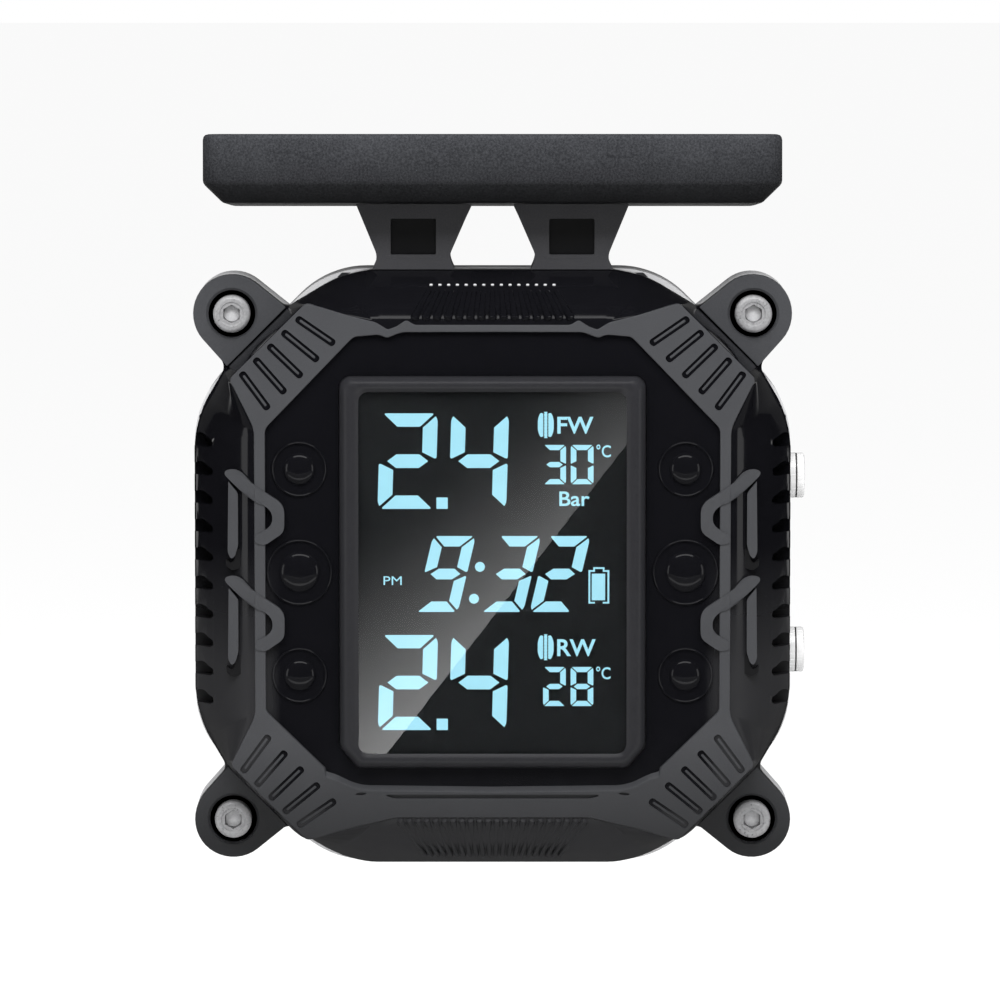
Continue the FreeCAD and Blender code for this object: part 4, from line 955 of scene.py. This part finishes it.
@dataclass
class DigitStyle:
    """One size of seven-segment digit."""

    wide: float
    tall: float
    thick: float
    slant: float = 0.0

    def segment(self, name: str) -> list[Corner]:
        """Return one segment's outline, from the digit's lower left corner.

        Args:
            name: a letter from a, the top bar, clockwise to f, or g for the middle bar.

        Returns:
            Its corners.
        """
        wide, tall, thick, middle = self.wide, self.tall, self.thick, self.tall / 2
        soft, under = 0.18 * thick, tall - 0.92 * thick
        top = [(0.22 * thick, tall, soft), (wide - 0.22 * thick, tall, soft),
               (wide - 1.2 * thick, under, 0.0), (1.2 * thick, under, 0.0)]
        left = [(0.0, tall - 0.42 * thick, soft), (0.14 * thick, tall - 0.2 * thick, 0.0),
                (thick, tall - 0.98 * thick, 0.0),
                (thick, middle + 0.61 * thick, 0.0), (0.0, middle + 0.12 * thick, soft)]
        near, half = 1.19 * thick, 0.47 * thick
        bar = [(0.57 * thick, middle, 0.0), (near, middle + half, 0.0),
               (wide - near, middle + half, 0.0), (wide - 0.57 * thick, middle, 0.0),
               (wide - near, middle - half, 0.0), (near, middle - half, 0.0)]
        across = [(wide - x, z, soft) for x, z, soft in left]
        shapes = {
            "a": top, "g": bar, "f": left, "b": across,
            "d": [(x, tall - z, soft) for x, z, soft in top],
            "e": [(x, tall - z, soft) for x, z, soft in left],
            "c": [(x, tall - z, soft) for x, z, soft in across],
        }
        return [(x + self.slant * z, z, soft) for x, z, soft in shapes[name]]


LIT = {"0": "abcdef", "2": "abged", "3": "abgcd", "4": "fgbc", "8": "abcdefg", "9": "abcdfg"}


@dataclass
class Display:
    """The bezel, the lens and every lit mark on the dark glass."""

    workshop: Workshop
    lit_back: float = 21.71
    lit_front: float = 21.75
    big: DigitStyle = field(default_factory=lambda: DigitStyle(6.95, 11.55, 1.76, 0.03))
    clock: DigitStyle = field(default_factory=lambda: DigitStyle(5.17, 9.2, 1.38, 0.236))
    small: DigitStyle = field(default_factory=lambda: DigitStyle(2.75, 4.75, 0.68))

    def build(self) -> None:
        """Make every piece of the display."""
        self.build_bezel()
        self.build_lens()
        self.build_digits()
        self.build_icons()
        self.build_words()

    def bezel_outline(self, inset: float) -> list[Corner]:
        """Return the bezel's outline moved in by an inset, its bottom corners cut."""
        half_x, half_z = 18.5 - inset, 23.75 - inset * 0.787
        share = min(1.0, inset / 2.35)
        cut_x, cut_z = 2.2 - 1.5 * share, 2.6 - 1.9 * share
        top_x, top_z = 0.9 - 0.2 * share, 0.9 - 0.2 * share
        right = [(half_x - top_x, half_z, 0.5), (half_x, half_z - top_z, 0.5),
                 (half_x, -half_z + cut_z, 0.5), (half_x - cut_x, -half_z, 0.5)]
        return right + flipped(right, -1, 1)[::-1]

    def build_bezel(self) -> None:
        """The rounded frame, with the lens's seat behind its lip."""
        profile = ((0.0, 20.0), (0.0, 21.9), (0.12, 22.4), (0.4, 22.9), (0.8, 23.2),
                   (1.2, 23.34), (1.6, 23.3), (1.95, 23.15), (2.2, 23.0), (2.35, 22.92),
                   (1.62, 22.91), (1.62, 20.0))
        shape = Shape()
        loops = [shape.loop(self.bezel_outline(inset), depth) for inset, depth in profile]
        for first, second in zip(loops, loops[1:] + loops[:1]):
            shape.bridge(first, second)
        bezel = shape.piece("bezel_frame", 60.0)
        self.workshop.keep(bezel, "bezel", "cover_black", stands_for=("display_bezel",))

    def build_lens(self) -> None:
        """The clear window with eased edges."""
        shape = Shape()
        shape.slab(around([(16.8, 22.5, 0.4)]), 21.78, 22.9, 0.08, 4, 2)
        self.workshop.keep(shape.piece("window_lens"), "lens", "lens_clear",
                           stands_for=("display_lens",))

    def build_digits(self) -> None:
        """The two pressures, their temperatures and the clock."""
        rows = (
            ("pressure", self.big, (("2", -13.87, 7.72), ("4", -5.3, 7.72),
                                    ("2", -13.87, -19.12), ("4", -5.3, -19.12))),
            ("clock", self.clock, (("9", -9.35, -4.77), ("3", -1.48, -4.77), ("2", 4.47, -4.77))),
            ("temperature", self.small, (("3", 6.1, 10.7), ("0", 9.42, 10.7),
                                         ("2", 6.1, -16.2), ("8", 9.42, -16.2))),
        )
        for name, style, digits in rows:
            shape = Shape()
            for digit, x, z in digits:
                for letter in LIT[digit]:
                    corners = moved(style.segment(letter), x, z)
                    shape.slab(corners, self.lit_back, self.lit_front, steps=3)
            self.workshop.keep(shape.piece(f"lit_{name}_digits"), "glow", "lcd_glass")

    def build_icons(self) -> None:
        """The decimal points, the colon, the battery and the two wheels."""
        shape = Shape()
        back, front = self.lit_back, self.lit_front
        for low in (7.72, -19.12):
            shape.slab(rectangle(-6.76, low, -5.4, low + 1.38, 0.05), back, front)
        for x, z in ((-1.52, 0.7), (-2.24, -3.17)):
            shape.slab(polygon(x, z, 0.6, 24), back, front)
        bars = ((11.97, -3.35, 13.58, -0.13), (11.57, -3.75, 11.79, 0.3),
                (13.86, -3.75, 14.08, 0.3), (11.79, -3.75, 12.35, -3.55),
                (13.3, -3.75, 13.86, -3.55), (11.79, 0.1, 12.15, 0.3),
                (13.5, 0.1, 13.86, 0.3), (12.15, 0.1, 12.35, 0.65),
                (13.3, 0.1, 13.5, 0.65), (12.35, 0.45, 13.3, 0.65))
        for bar in bars:
            shape.slab(rectangle(*bar), back, front)
        for low, high in ((16.28, 19.45), (-10.63, -7.48)):
            self.add_wheel(shape, 5.45, 7.37, low, high)
        self.workshop.keep(shape.piece("lit_icons"), "glow", "lcd_glass")

    def add_wheel(self, shape: Shape, left: float, right: float, low: float, high: float) -> None:
        """Add a tire seen from its tread: a middle rib and two shoulders with notched edges.

        Args:
            shape: the mesh to add to.
            left: left edge.
            right: right edge.
            low: bottom edge.
            high: top edge.
        """
        middle, outer, tall = (left + right) / 2, (right - left) / 2, high - low
        notches = [0.07 if step % 2 else 0.0 for step in range(17)]
        for side in SIDES:
            teeth = [(0.27 + notch, low + 0.25 + (tall - 0.5) * step / 16, 0.0)
                     for step, notch in enumerate(notches)]
            edge = [(outer * 0.62, high - 0.06, 0.2), (outer, high - 0.75, 0.45),
                    (outer, low + 0.75, 0.45), (outer * 0.62, low + 0.06, 0.2)]
            corners = [(middle + x * side, z, soft) for x, z, soft in teeth + edge]
            shape.slab(corners, self.lit_back, self.lit_front, steps=4)
        rib = [(0.22 - notch, low + tall * step / 16, 0.0) for step, notch in enumerate(notches)]
        corners = [(middle + x, z, soft) for x, z, soft in rib]
        corners += [(middle - x, z, soft) for x, z, soft in reversed(rib)]
        shape.slab(corners, self.lit_back, self.lit_front)

    def build_words(self) -> None:
        """The wheel names, the units and the half of the day."""
        words = (
            ("wheel_front", "FW", 7.8, 12.15, 16.8, 18.85, 0.02),
            ("wheel_rear", "RW", 7.8, 12.45, -10.15, -8.08, 0.02),
            ("afternoon", "PM", -13.15, -10.95, -1.5, -0.45, 0.0),
            ("pressure_unit", "Bar", 8.05, 11.7, 8.05, 9.83, 0.014),
            ("front_degrees", "°C", 12.5, 14.25, 13.95, 15.5, 0.012),
            ("rear_degrees", "°C", 12.5, 14.25, -12.95, -11.4, 0.012),
        )
        for name, text, left, right, low, high, weight in words:
            curve = bpy.data.curves.new(name, "FONT")
            curve.body, curve.offset, curve.resolution_u = text, weight, 4
            curve.extrude = 0.01
            letters = placed(name, curve)
            graph = bpy.context.evaluated_depsgraph_get()
            data = bpy.data.meshes.new_from_object(letters.evaluated_get(graph))
            bpy.data.objects.remove(letters)
            points = [point.co for point in data.vertices]
            low_x, high_x = min(p.x for p in points), max(p.x for p in points)
            low_y, high_y = min(p.y for p in points), max(p.y for p in points)
            wide, tall = (right - left) / (high_x - low_x), (high - low) / (high_y - low_y)
            for point in data.vertices:
                x, y, z = point.co
                depth = self.lit_front if z > 0 else self.lit_back
                place = Vector((left + (x - low_x) * wide, -depth, low + (y - low_y) * tall))
                point.co = place * MM
            self.workshop.keep(placed(f"lit_{name}", data), "glow", "lcd_glass")


# --------------------------------------------------------------------------
# Hardware, buttons, posts and tray
# --------------------------------------------------------------------------

@dataclass
class EarBolts:
    """Four socket cap bolts with a chamfered head and a hex socket."""

    workshop: Workshop
    seat: float = 13.9
    radius: float = 2.25
    high: float = 2.5
    socket: float = 1.16

    def build(self) -> None:
        """Make the heads, their shanks and the sockets' linings."""
        heads, sockets, linings = Shape(), Shape(), Shape()
        for side, level in QUARTERS:
            centre = Vector((EAR_CENTRE[0] * side, -self.seat, EAR_CENTRE[1] * level))
            top, radius = self.high, self.radius
            profile = ((0.0, -6.0), (1.05, -6.0), (1.25, -5.8), (1.25, 0.0), (radius, 0.0),
                       (radius, top - 0.42), (radius - 0.06, top - 0.3), (radius - 0.22, top - 0.1),
                       (radius - 0.4, top - 0.02), (radius - 0.55, top), (1.5, top),
                       (1.35, top - 0.12), (0.0, top - 0.12))
            heads.lathe(profile, centre, FRONT, 48)
            hexagon = polygon(centre.x, centre.z, self.socket, 6, 30)
            sockets.slab(hexagon, self.seat + 1.3, self.seat + 4.0)
            lining = ((0.0, 1.32), (0.95, 1.32), (0.95, 1.4), (0.5, 1.52), (0.0, 1.6))
            linings.lathe(lining, centre, FRONT, 24)
        bolts = heads.piece("socket_cap_bolts")
        carve(bolts, sockets.piece("socket_tool"))
        self.workshop.keep(bolts, "bolt", "bolt_steel", stands_for=("ear_bolts",))
        self.workshop.keep(linings.piece("socket_floors"), "socket", "bolt_steel")


@dataclass
class PushButton:
    """One turned metal button that goes straight in."""

    workshop: Workshop
    name: str
    level: float
    depth: float = 9.3
    radius: float = 2.75
    height: float = 10.7

    def build(self) -> None:
        """Make the cap with its eased end, and a dark ring in its groove that is painted shade."""
        centre = Vector((0.0, -self.depth, self.height * self.level))
        radius = self.radius
        profile = ((0.0, 33.1), (3.05, 33.1), (3.05, 33.85), (radius, 33.9), (radius, 34.8),
                   (2.2, 34.85), (2.2, 35.6), (radius, 35.65), (radius, 36.95),
                   (radius - 0.1, 37.0), (radius - 0.1, 37.12), (radius, 37.17), (radius, 37.8),
                   (radius - 0.1, 37.98), (radius - 0.3, 38.06), (1.4, 38.1), (0.0, 38.1))
        cap = Shape()
        cap.lathe(profile, centre, RIGHT, 64)
        body = f"{self.name}_button"
        self.workshop.keep(cap.piece(f"{self.name}_push_cap"), "button", "button_steel", body,
                           (f"{self.name}_button_cap",))
        # Painted shade: a dark ring set into the cap's groove stands in for the shade in it.
        line = Shape()
        ring = ((radius - 0.2, 36.97), (radius - 0.03, 36.98), (radius - 0.03, 37.14),
                (radius - 0.2, 37.15), (radius - 0.2, 36.97))
        line.lathe(ring, centre, RIGHT, 64)
        self.workshop.keep(line.piece(f"{self.name}_cap_line"), "line", "button_steel", body)


@dataclass
class Post:
    """One flared post with a bevelled face and a square recess."""

    workshop: Workshop
    name: str
    side: float
    front: float = 15.0
    back: float = 8.0

    def build(self) -> None:
        """Make the post, cut its recess and lean its top to meet the tray."""
        middle = 9.6 * self.side
        right = [(7.0, 44.05, 0.0), (4.4, 37.95, 0.5), (4.55, 37.1, 0.4), (5.0, 36.1, 0.0)]
        left = [(-7.15, 44.05, 0.0), (-4.4, 37.95, 0.5), (-4.55, 37.1, 0.4), (-5.0, 36.1, 0.0)]
        outline = [(middle + x * self.side, z, soft) for x, z, soft in right + left[::-1]]
        shape = Shape()
        shape.slab(outline, self.back, self.front, 0.75, 3, 3)
        top = [point for point in shape.mesh.verts if point.co.z > 43.0]
        for point in top:
            point.co.z += (-point.co.y - TRAY_PIVOT) * math.tan(TRAY_LEAN) - 0.03
        post = shape.piece(f"{self.name}_flared_post", 40.0)
        tool = Shape()
        hole = rectangle(middle - 2.75, 38.0, middle + 2.75, 42.35, 0.15)
        tool.slab(hole, self.front - 0.35, self.front + 1.0, steps=2)
        carve(post, tool.piece("post_tool"), 40.0)
        self.workshop.keep(post, "post", "post_black", stands_for=(f"{self.name}_post",))
        # Painted shade: a near-black sheet on the recess floor, far darker than the post, stands in
        # for the shade in the recess.
        floor = Shape()
        inner = [(middle + (x - middle) * 0.99, 40.175 + (z - 40.175) * 0.99, soft)
                 for x, z, soft in hole]
        floor.slab(inner, self.front - 0.4, self.front - 0.33, 0.0, 2)
        bead = [(middle - 3.1, 37.45, 0.1), (middle + 3.1, 37.45, 0.1),
                (middle + 3.4, 37.85, 0.1), (middle - 3.4, 37.85, 0.1)]
        self.workshop.keep(floor.piece(f"{self.name}_post_recess"), "recess", "post_black")
        rim = Shape()
        rim.slab(bead, self.front - 0.4, self.front + 0.03, 0.12, 2)
        self.workshop.keep(rim.piece(f"{self.name}_post_bead"), "post", "post_black")


@dataclass
class SolarTray:
    """The leaning tray: chamfered underside, rounded corners and a seat for the panel."""

    workshop: Workshop
    base: float = 43.9
    half_x: float = 34.8
    half_y: float = 16.0
    middle_y: float = -8.0

    def outline(self, inset: float, cut: float) -> list[Corner]:
        """Return the tray's plan, moved in by an inset, with softened corners."""
        x, y = self.half_x - inset, self.half_y - inset
        return [(x, y, cut), (x, -y, cut), (-x, -y, cut), (-x, y, cut)]

    def lofted(self, name: str, profile: Sequence[Corner], smooth: float) -> bpy.types.Object:
        """Loft the plan through a profile and lean the result back.

        Args:
            name: the piece's name.
            profile: inset, height over the base and corner softening of each loop.
            smooth: angle below which edges look round, in degrees.

        Returns:
            The piece.
        """
        shape = Shape()
        loops = [shape.loop(self.outline(inset, cut), height, 6) for inset, height, cut in profile]
        rings = [sorted({vert for edge in loop for vert in edge.verts},
                        key=lambda vert: math.atan2(vert.co.z, vert.co.x)) for loop in loops]
        for first, second in zip(rings, rings[1:]):
            for step, vert in enumerate(first):
                shape.mesh.faces.new((first[step - 1], vert, second[step], second[step - 1]))
        for rim in (loops[0], loops[-1]):
            bmesh.ops.contextual_create(shape.mesh, geom=rim)
        turn = Matrix.Rotation(-TRAY_LEAN, 4, "X")
        stand = Matrix.Translation((0.0, self.middle_y, self.base)) @ Matrix.Rotation(
            math.radians(-90), 4, "X")
        pivot = Matrix.Translation((0.0, -TRAY_PIVOT, self.base))
        lean = pivot @ turn @ pivot.inverted() @ stand
        bmesh.ops.transform(shape.mesh, matrix=lean, verts=shape.mesh.verts)
        return shape.piece(name, smooth)

    def build(self) -> None:
        """Make the tray and the clear sheet that lies over its cell."""
        profile = ((2.9, 0.0, 1.2), (2.4, 0.1, 1.4), (2.15, 0.28, 1.6), (0.25, 2.15, 2.5),
                   (0.06, 2.45, 2.5), (0.0, 2.8, 2.5), (0.0, 7.6, 2.5), (0.08, 7.95, 2.4),
                   (0.28, 8.2, 2.2), (0.62, 8.3, 2.0), (2.55, 8.3, 0.4), (2.6, 8.25, 0.35),
                   (2.6, 6.4, 0.35))
        self.workshop.keep(self.lofted("tray_box", profile, 40.0), "tray", "tray_black",
                           stands_for=("solar_tray",))
        sheet = ((2.9, 7.16, 0.3), (2.74, 7.3, 0.35), (2.74, 7.85, 0.35), (2.95, 8.06, 0.3))
        self.workshop.keep(self.lofted("tray_clear_sheet", sheet, 30.0), "glass", "panel_clear",
                           stands_for=("solar_glass",))


@dataclass
class CarriedOver:
    """CAD nodes that keep their own mesh and take a finish."""

    workshop: Workshop
    finish_of: dict[str, tuple[str, str]] = field(default_factory=lambda: {
        "rear_shell": ("silver", "shell_silver"), "cover_seal": ("seal", "seal_rubber"),
        "mount_inserts": ("brass", "insert_brass"), "ear_nuts": ("brass", "insert_brass"),
        "lcd_panel": ("lcd", "lcd_glass"), "backlight": ("guide", "light_guide"),
        "lcd_carrier": ("white", "carrier_white"), "main_board": ("board", "board_green"),
        "board_screws": ("steel", "bolt_steel"), "board_chips": ("chip", "chip_black"),
        "receiver_antenna": ("copper", "antenna_copper"), "battery": ("pouch", "pouch_silver"),
        "battery_pad": ("foam", "foam_pad"), "charge_socket": ("steel", "socket_steel"),
        "charge_port_cover": ("rubber", "port_rubber"),
        "port_cover_anchor": ("rubber", "port_rubber"),
        "upper_button_ring": ("seal", "seal_rubber"), "lower_button_ring": ("seal", "seal_rubber"),
        "upper_switch_plunger": ("chip", "switch_black"),
        "lower_switch_plunger": ("chip", "switch_black"),
        "button_switches": ("chip", "switch_black"), "post_screws": ("steel", "bolt_steel"),
        "tray_screws": ("steel", "bolt_steel"), "solar_cell": ("cells", "cell_blue"),
        "solar_leads": ("lead", "lead_jacket"),
    })

    def build(self) -> None:
        """Dress each node."""
        for name, (finish, slot) in self.finish_of.items():
            self.workshop.finishes.dress(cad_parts[name], finish, slot)
            LOG.info("%s: CAD node, %s", name, finish)


# --------------------------------------------------------------------------
# Studio
# --------------------------------------------------------------------------

def gloss_only(card: bpy.types.Object) -> None:
    """Hide a card from every ray but a reflected one."""
    card.visible_camera = card.visible_diffuse = card.visible_shadow = False
    card.visible_transmission = card.visible_volume_scatter = False


@dataclass
class Studio:
    """Camera, pale floor, even daylight, a top softbox and dark cards for the gloss to see."""

    target: Vector = field(default_factory=lambda: Vector((0.9, -15.0, 8.15)) * MM)
    elevation: float = 5.2
    distance: float = 0.86
    across: float = 0.1215
    floor_height: float = -0.075

    def build_camera(self) -> None:
        """Place the camera in front of and a little over the gauge."""
        data = bpy.data.cameras.new("studio_camera")
        data.sensor_width = 36.0
        data.lens = 36.0 * self.distance / self.across
        data.clip_start, data.clip_end = 0.05, 20.0
        camera = placed("studio_camera", data)
        angle = math.radians(self.elevation)
        back = Vector((0.0, -math.cos(angle), math.sin(angle)))
        camera.location = self.target + back * self.distance
        camera.rotation_euler = (-back).to_track_quat("-Z", "Y").to_euler()
        bpy.context.scene.camera = camera

    def card(self, name: str, centre: Corner, facing: Corner, size: Spot, light: float) -> None:
        """Hang a flat card that only reflections see.

        Args:
            name: the card's name.
            centre: its middle, in metres.
            facing: the direction that it faces.
            size: its width and height, in metres.
            light: how bright it is; 0 is a black card.
        """
        mesh = bmesh.new()
        bmesh.ops.create_grid(mesh, x_segments=1, y_segments=1, size=0.5)
        turn = Vector(facing).to_track_quat("Z", "Y").to_matrix().to_4x4()
        shape = Matrix.Diagonal((size[0], size[1], 1.0, 1.0))
        bmesh.ops.transform(mesh, matrix=Matrix.Translation(centre) @ turn @ shape,
                            verts=mesh.verts)
        data = mesh_data(name, mesh)
        values = {"Base Color": (*BLACK, 1.0), "Roughness": 1.0, "Specular IOR Level": 0.0,
                  "Emission Color": (*WHITE, 1.0), "Emission Strength": light}
        data.materials.append(Recipe(name).finish(values))
        card = placed(name, data)
        gloss_only(card)

    def build_window_card(self, lens: bpy.types.Object) -> None:
        """Hang the card whose slanted edge shows as a reflection in the window only.

        Args:
            lens: the window's lens, the only piece that the card lights.
        """
        outline = [(-17.5, 30.0), (17.5, 30.0), (16.2, 18.6), (-15.6, -22.6), (-17.5, -23.0)]
        mesh = bmesh.new()
        points = [mesh.verts.new(Vector((1.327 * x - 0.3, -300.0, 1.327 * z - 32.1)) * MM)
                  for x, z in outline]
        mesh.faces.new(points)
        data = mesh_data("window_card", mesh)
        recipe = Recipe("window_card")
        fade = recipe.ramp(8.14 * recipe.axis(0) - 10.02 * recipe.axis(2), 0.0173, 0.5173)
        values = {"Base Color": (*BLACK, 1.0), "Specular IOR Level": 0.0,
                  "Emission Color": recipe.blend(fade * fade, BLACK, WHITE),
                  "Emission Strength": 9.0}
        data.materials.append(recipe.finish(values))
        card = placed("window_card", data)
        gloss_only(card)
        only = bpy.data.collections.new("window_card_lights")
        only.objects.link(lens)
        card.light_linking.receiver_collection = only

    def build_floor(self) -> None:
        """A wide pale floor that blends into the background."""
        mesh = bmesh.new()
        bmesh.ops.create_grid(mesh, x_segments=1, y_segments=1, size=6.0)
        bmesh.ops.translate(mesh, verts=mesh.verts, vec=(0.0, 0.0, self.floor_height))
        data = mesh_data("studio_floor", mesh)
        values = {"Base Color": (0.95, 0.95, 0.95, 1.0), "Roughness": 0.9,
                  "Specular IOR Level": 0.0}
        data.materials.append(Recipe("pale_floor").finish(values))
        placed("studio_floor", data)

    def build_world(self) -> None:
        """Even white daylight, shown without a film curve."""
        world = bpy.data.worlds.new("studio_daylight")
        world.use_nodes = True
        background = world.node_tree.nodes["Background"]
        background.inputs["Color"].default_value = (*WHITE, 1.0)
        background.inputs["Strength"].default_value = 1.0
        bpy.context.scene.world = world
        bpy.context.scene.view_settings.view_transform = "Standard"

    def build_softbox(self) -> None:
        """The softbox over the front."""
        data = bpy.data.lights.new("top_softbox", "AREA")
        data.shape, data.size, data.size_y, data.energy = "RECTANGLE", 0.3, 0.12, 1.3
        box = placed("top_softbox", data)
        box.location = (0.0, -0.17, 0.2)
        box.visible_glossy = False
        facing = Vector((0.0, 0.0, 0.03)) - box.location
        box.rotation_euler = facing.to_track_quat("-Z", "Y").to_euler()

    def build_cards(self) -> None:
        """The dark, grey and pale cards; each row is for card(), with _card to follow its name."""
        cards = [
            ("front_dark", (0, -1.1, 0.35), (0, 1, -0.1), (3.2, 1.5), 0.0),
            ("top_dark", (0, 0.2, 0.5), DOWN, (1.8, 2.4), 0.0),
            ("floor_dark", (0, -1.3, -0.068), UP, (3.2, 2.0), 0.0),
            ("under_grey", (0, 0.0, -0.07), UP, (0.6, 0.6), 0.14),
            ("back_grey", (0, 0.6, 0.2), (0, -1, 0), (3.0, 0.56), 0.08),
        ]
        for side, word in SIDES.items():
            inward = (-side, 0, 0)
            cards += [
                (f"{word}_dark", (0.3 * side, -0.1, 0.2), inward, (0.46, 0.9), 0.0),
                (f"{word}_strip", (0.29 * side, -0.18, 0.02), inward, (0.09, 0.16), 0.85),
                (f"{word}_floor", (0.8 * side, 0.0, -0.07), UP, (1.0, 0.6), 0.3),
            ]
        cards += [
            ("top_strip", (0, -0.19, 0.3), DOWN, (0.36, 0.09), 1.6),
            ("low_strip", (0, -0.12, -0.066), UP, (0.3, 0.035), 0.8),
        ]
        for name, *rest in cards:
            self.card(f"{name}_card", *rest)
        bpy.data.objects["floor_dark_card"].visible_transmission = True

    def build(self) -> None:
        """Set up the whole studio."""
        self.build_camera()
        self.build_floor()
        self.build_world()
        self.build_softbox()
        self.build_cards()


def main() -> None:
    """Build the studio and then the gauge, sub-assembly by sub-assembly."""
    logging.basicConfig(level=logging.INFO, format="%(message)s")
    studio = Studio()
    studio.build()
    workshop = Workshop(Finishes())
    CarriedOver(workshop).build()
    CoverMoulding(workshop).build()
    Display(workshop).build()
    EarBolts(workshop).build()
    for name, level in (("upper", 1.0), ("lower", -1.0)):
        PushButton(workshop, name, level).build()
    for side, name in SIDES.items():
        Post(workshop, name, side).build()
    SolarTray(workshop).build()
    studio.build_window_card(bpy.data.objects["window_lens"])


if __name__ == "__main__":
    main()
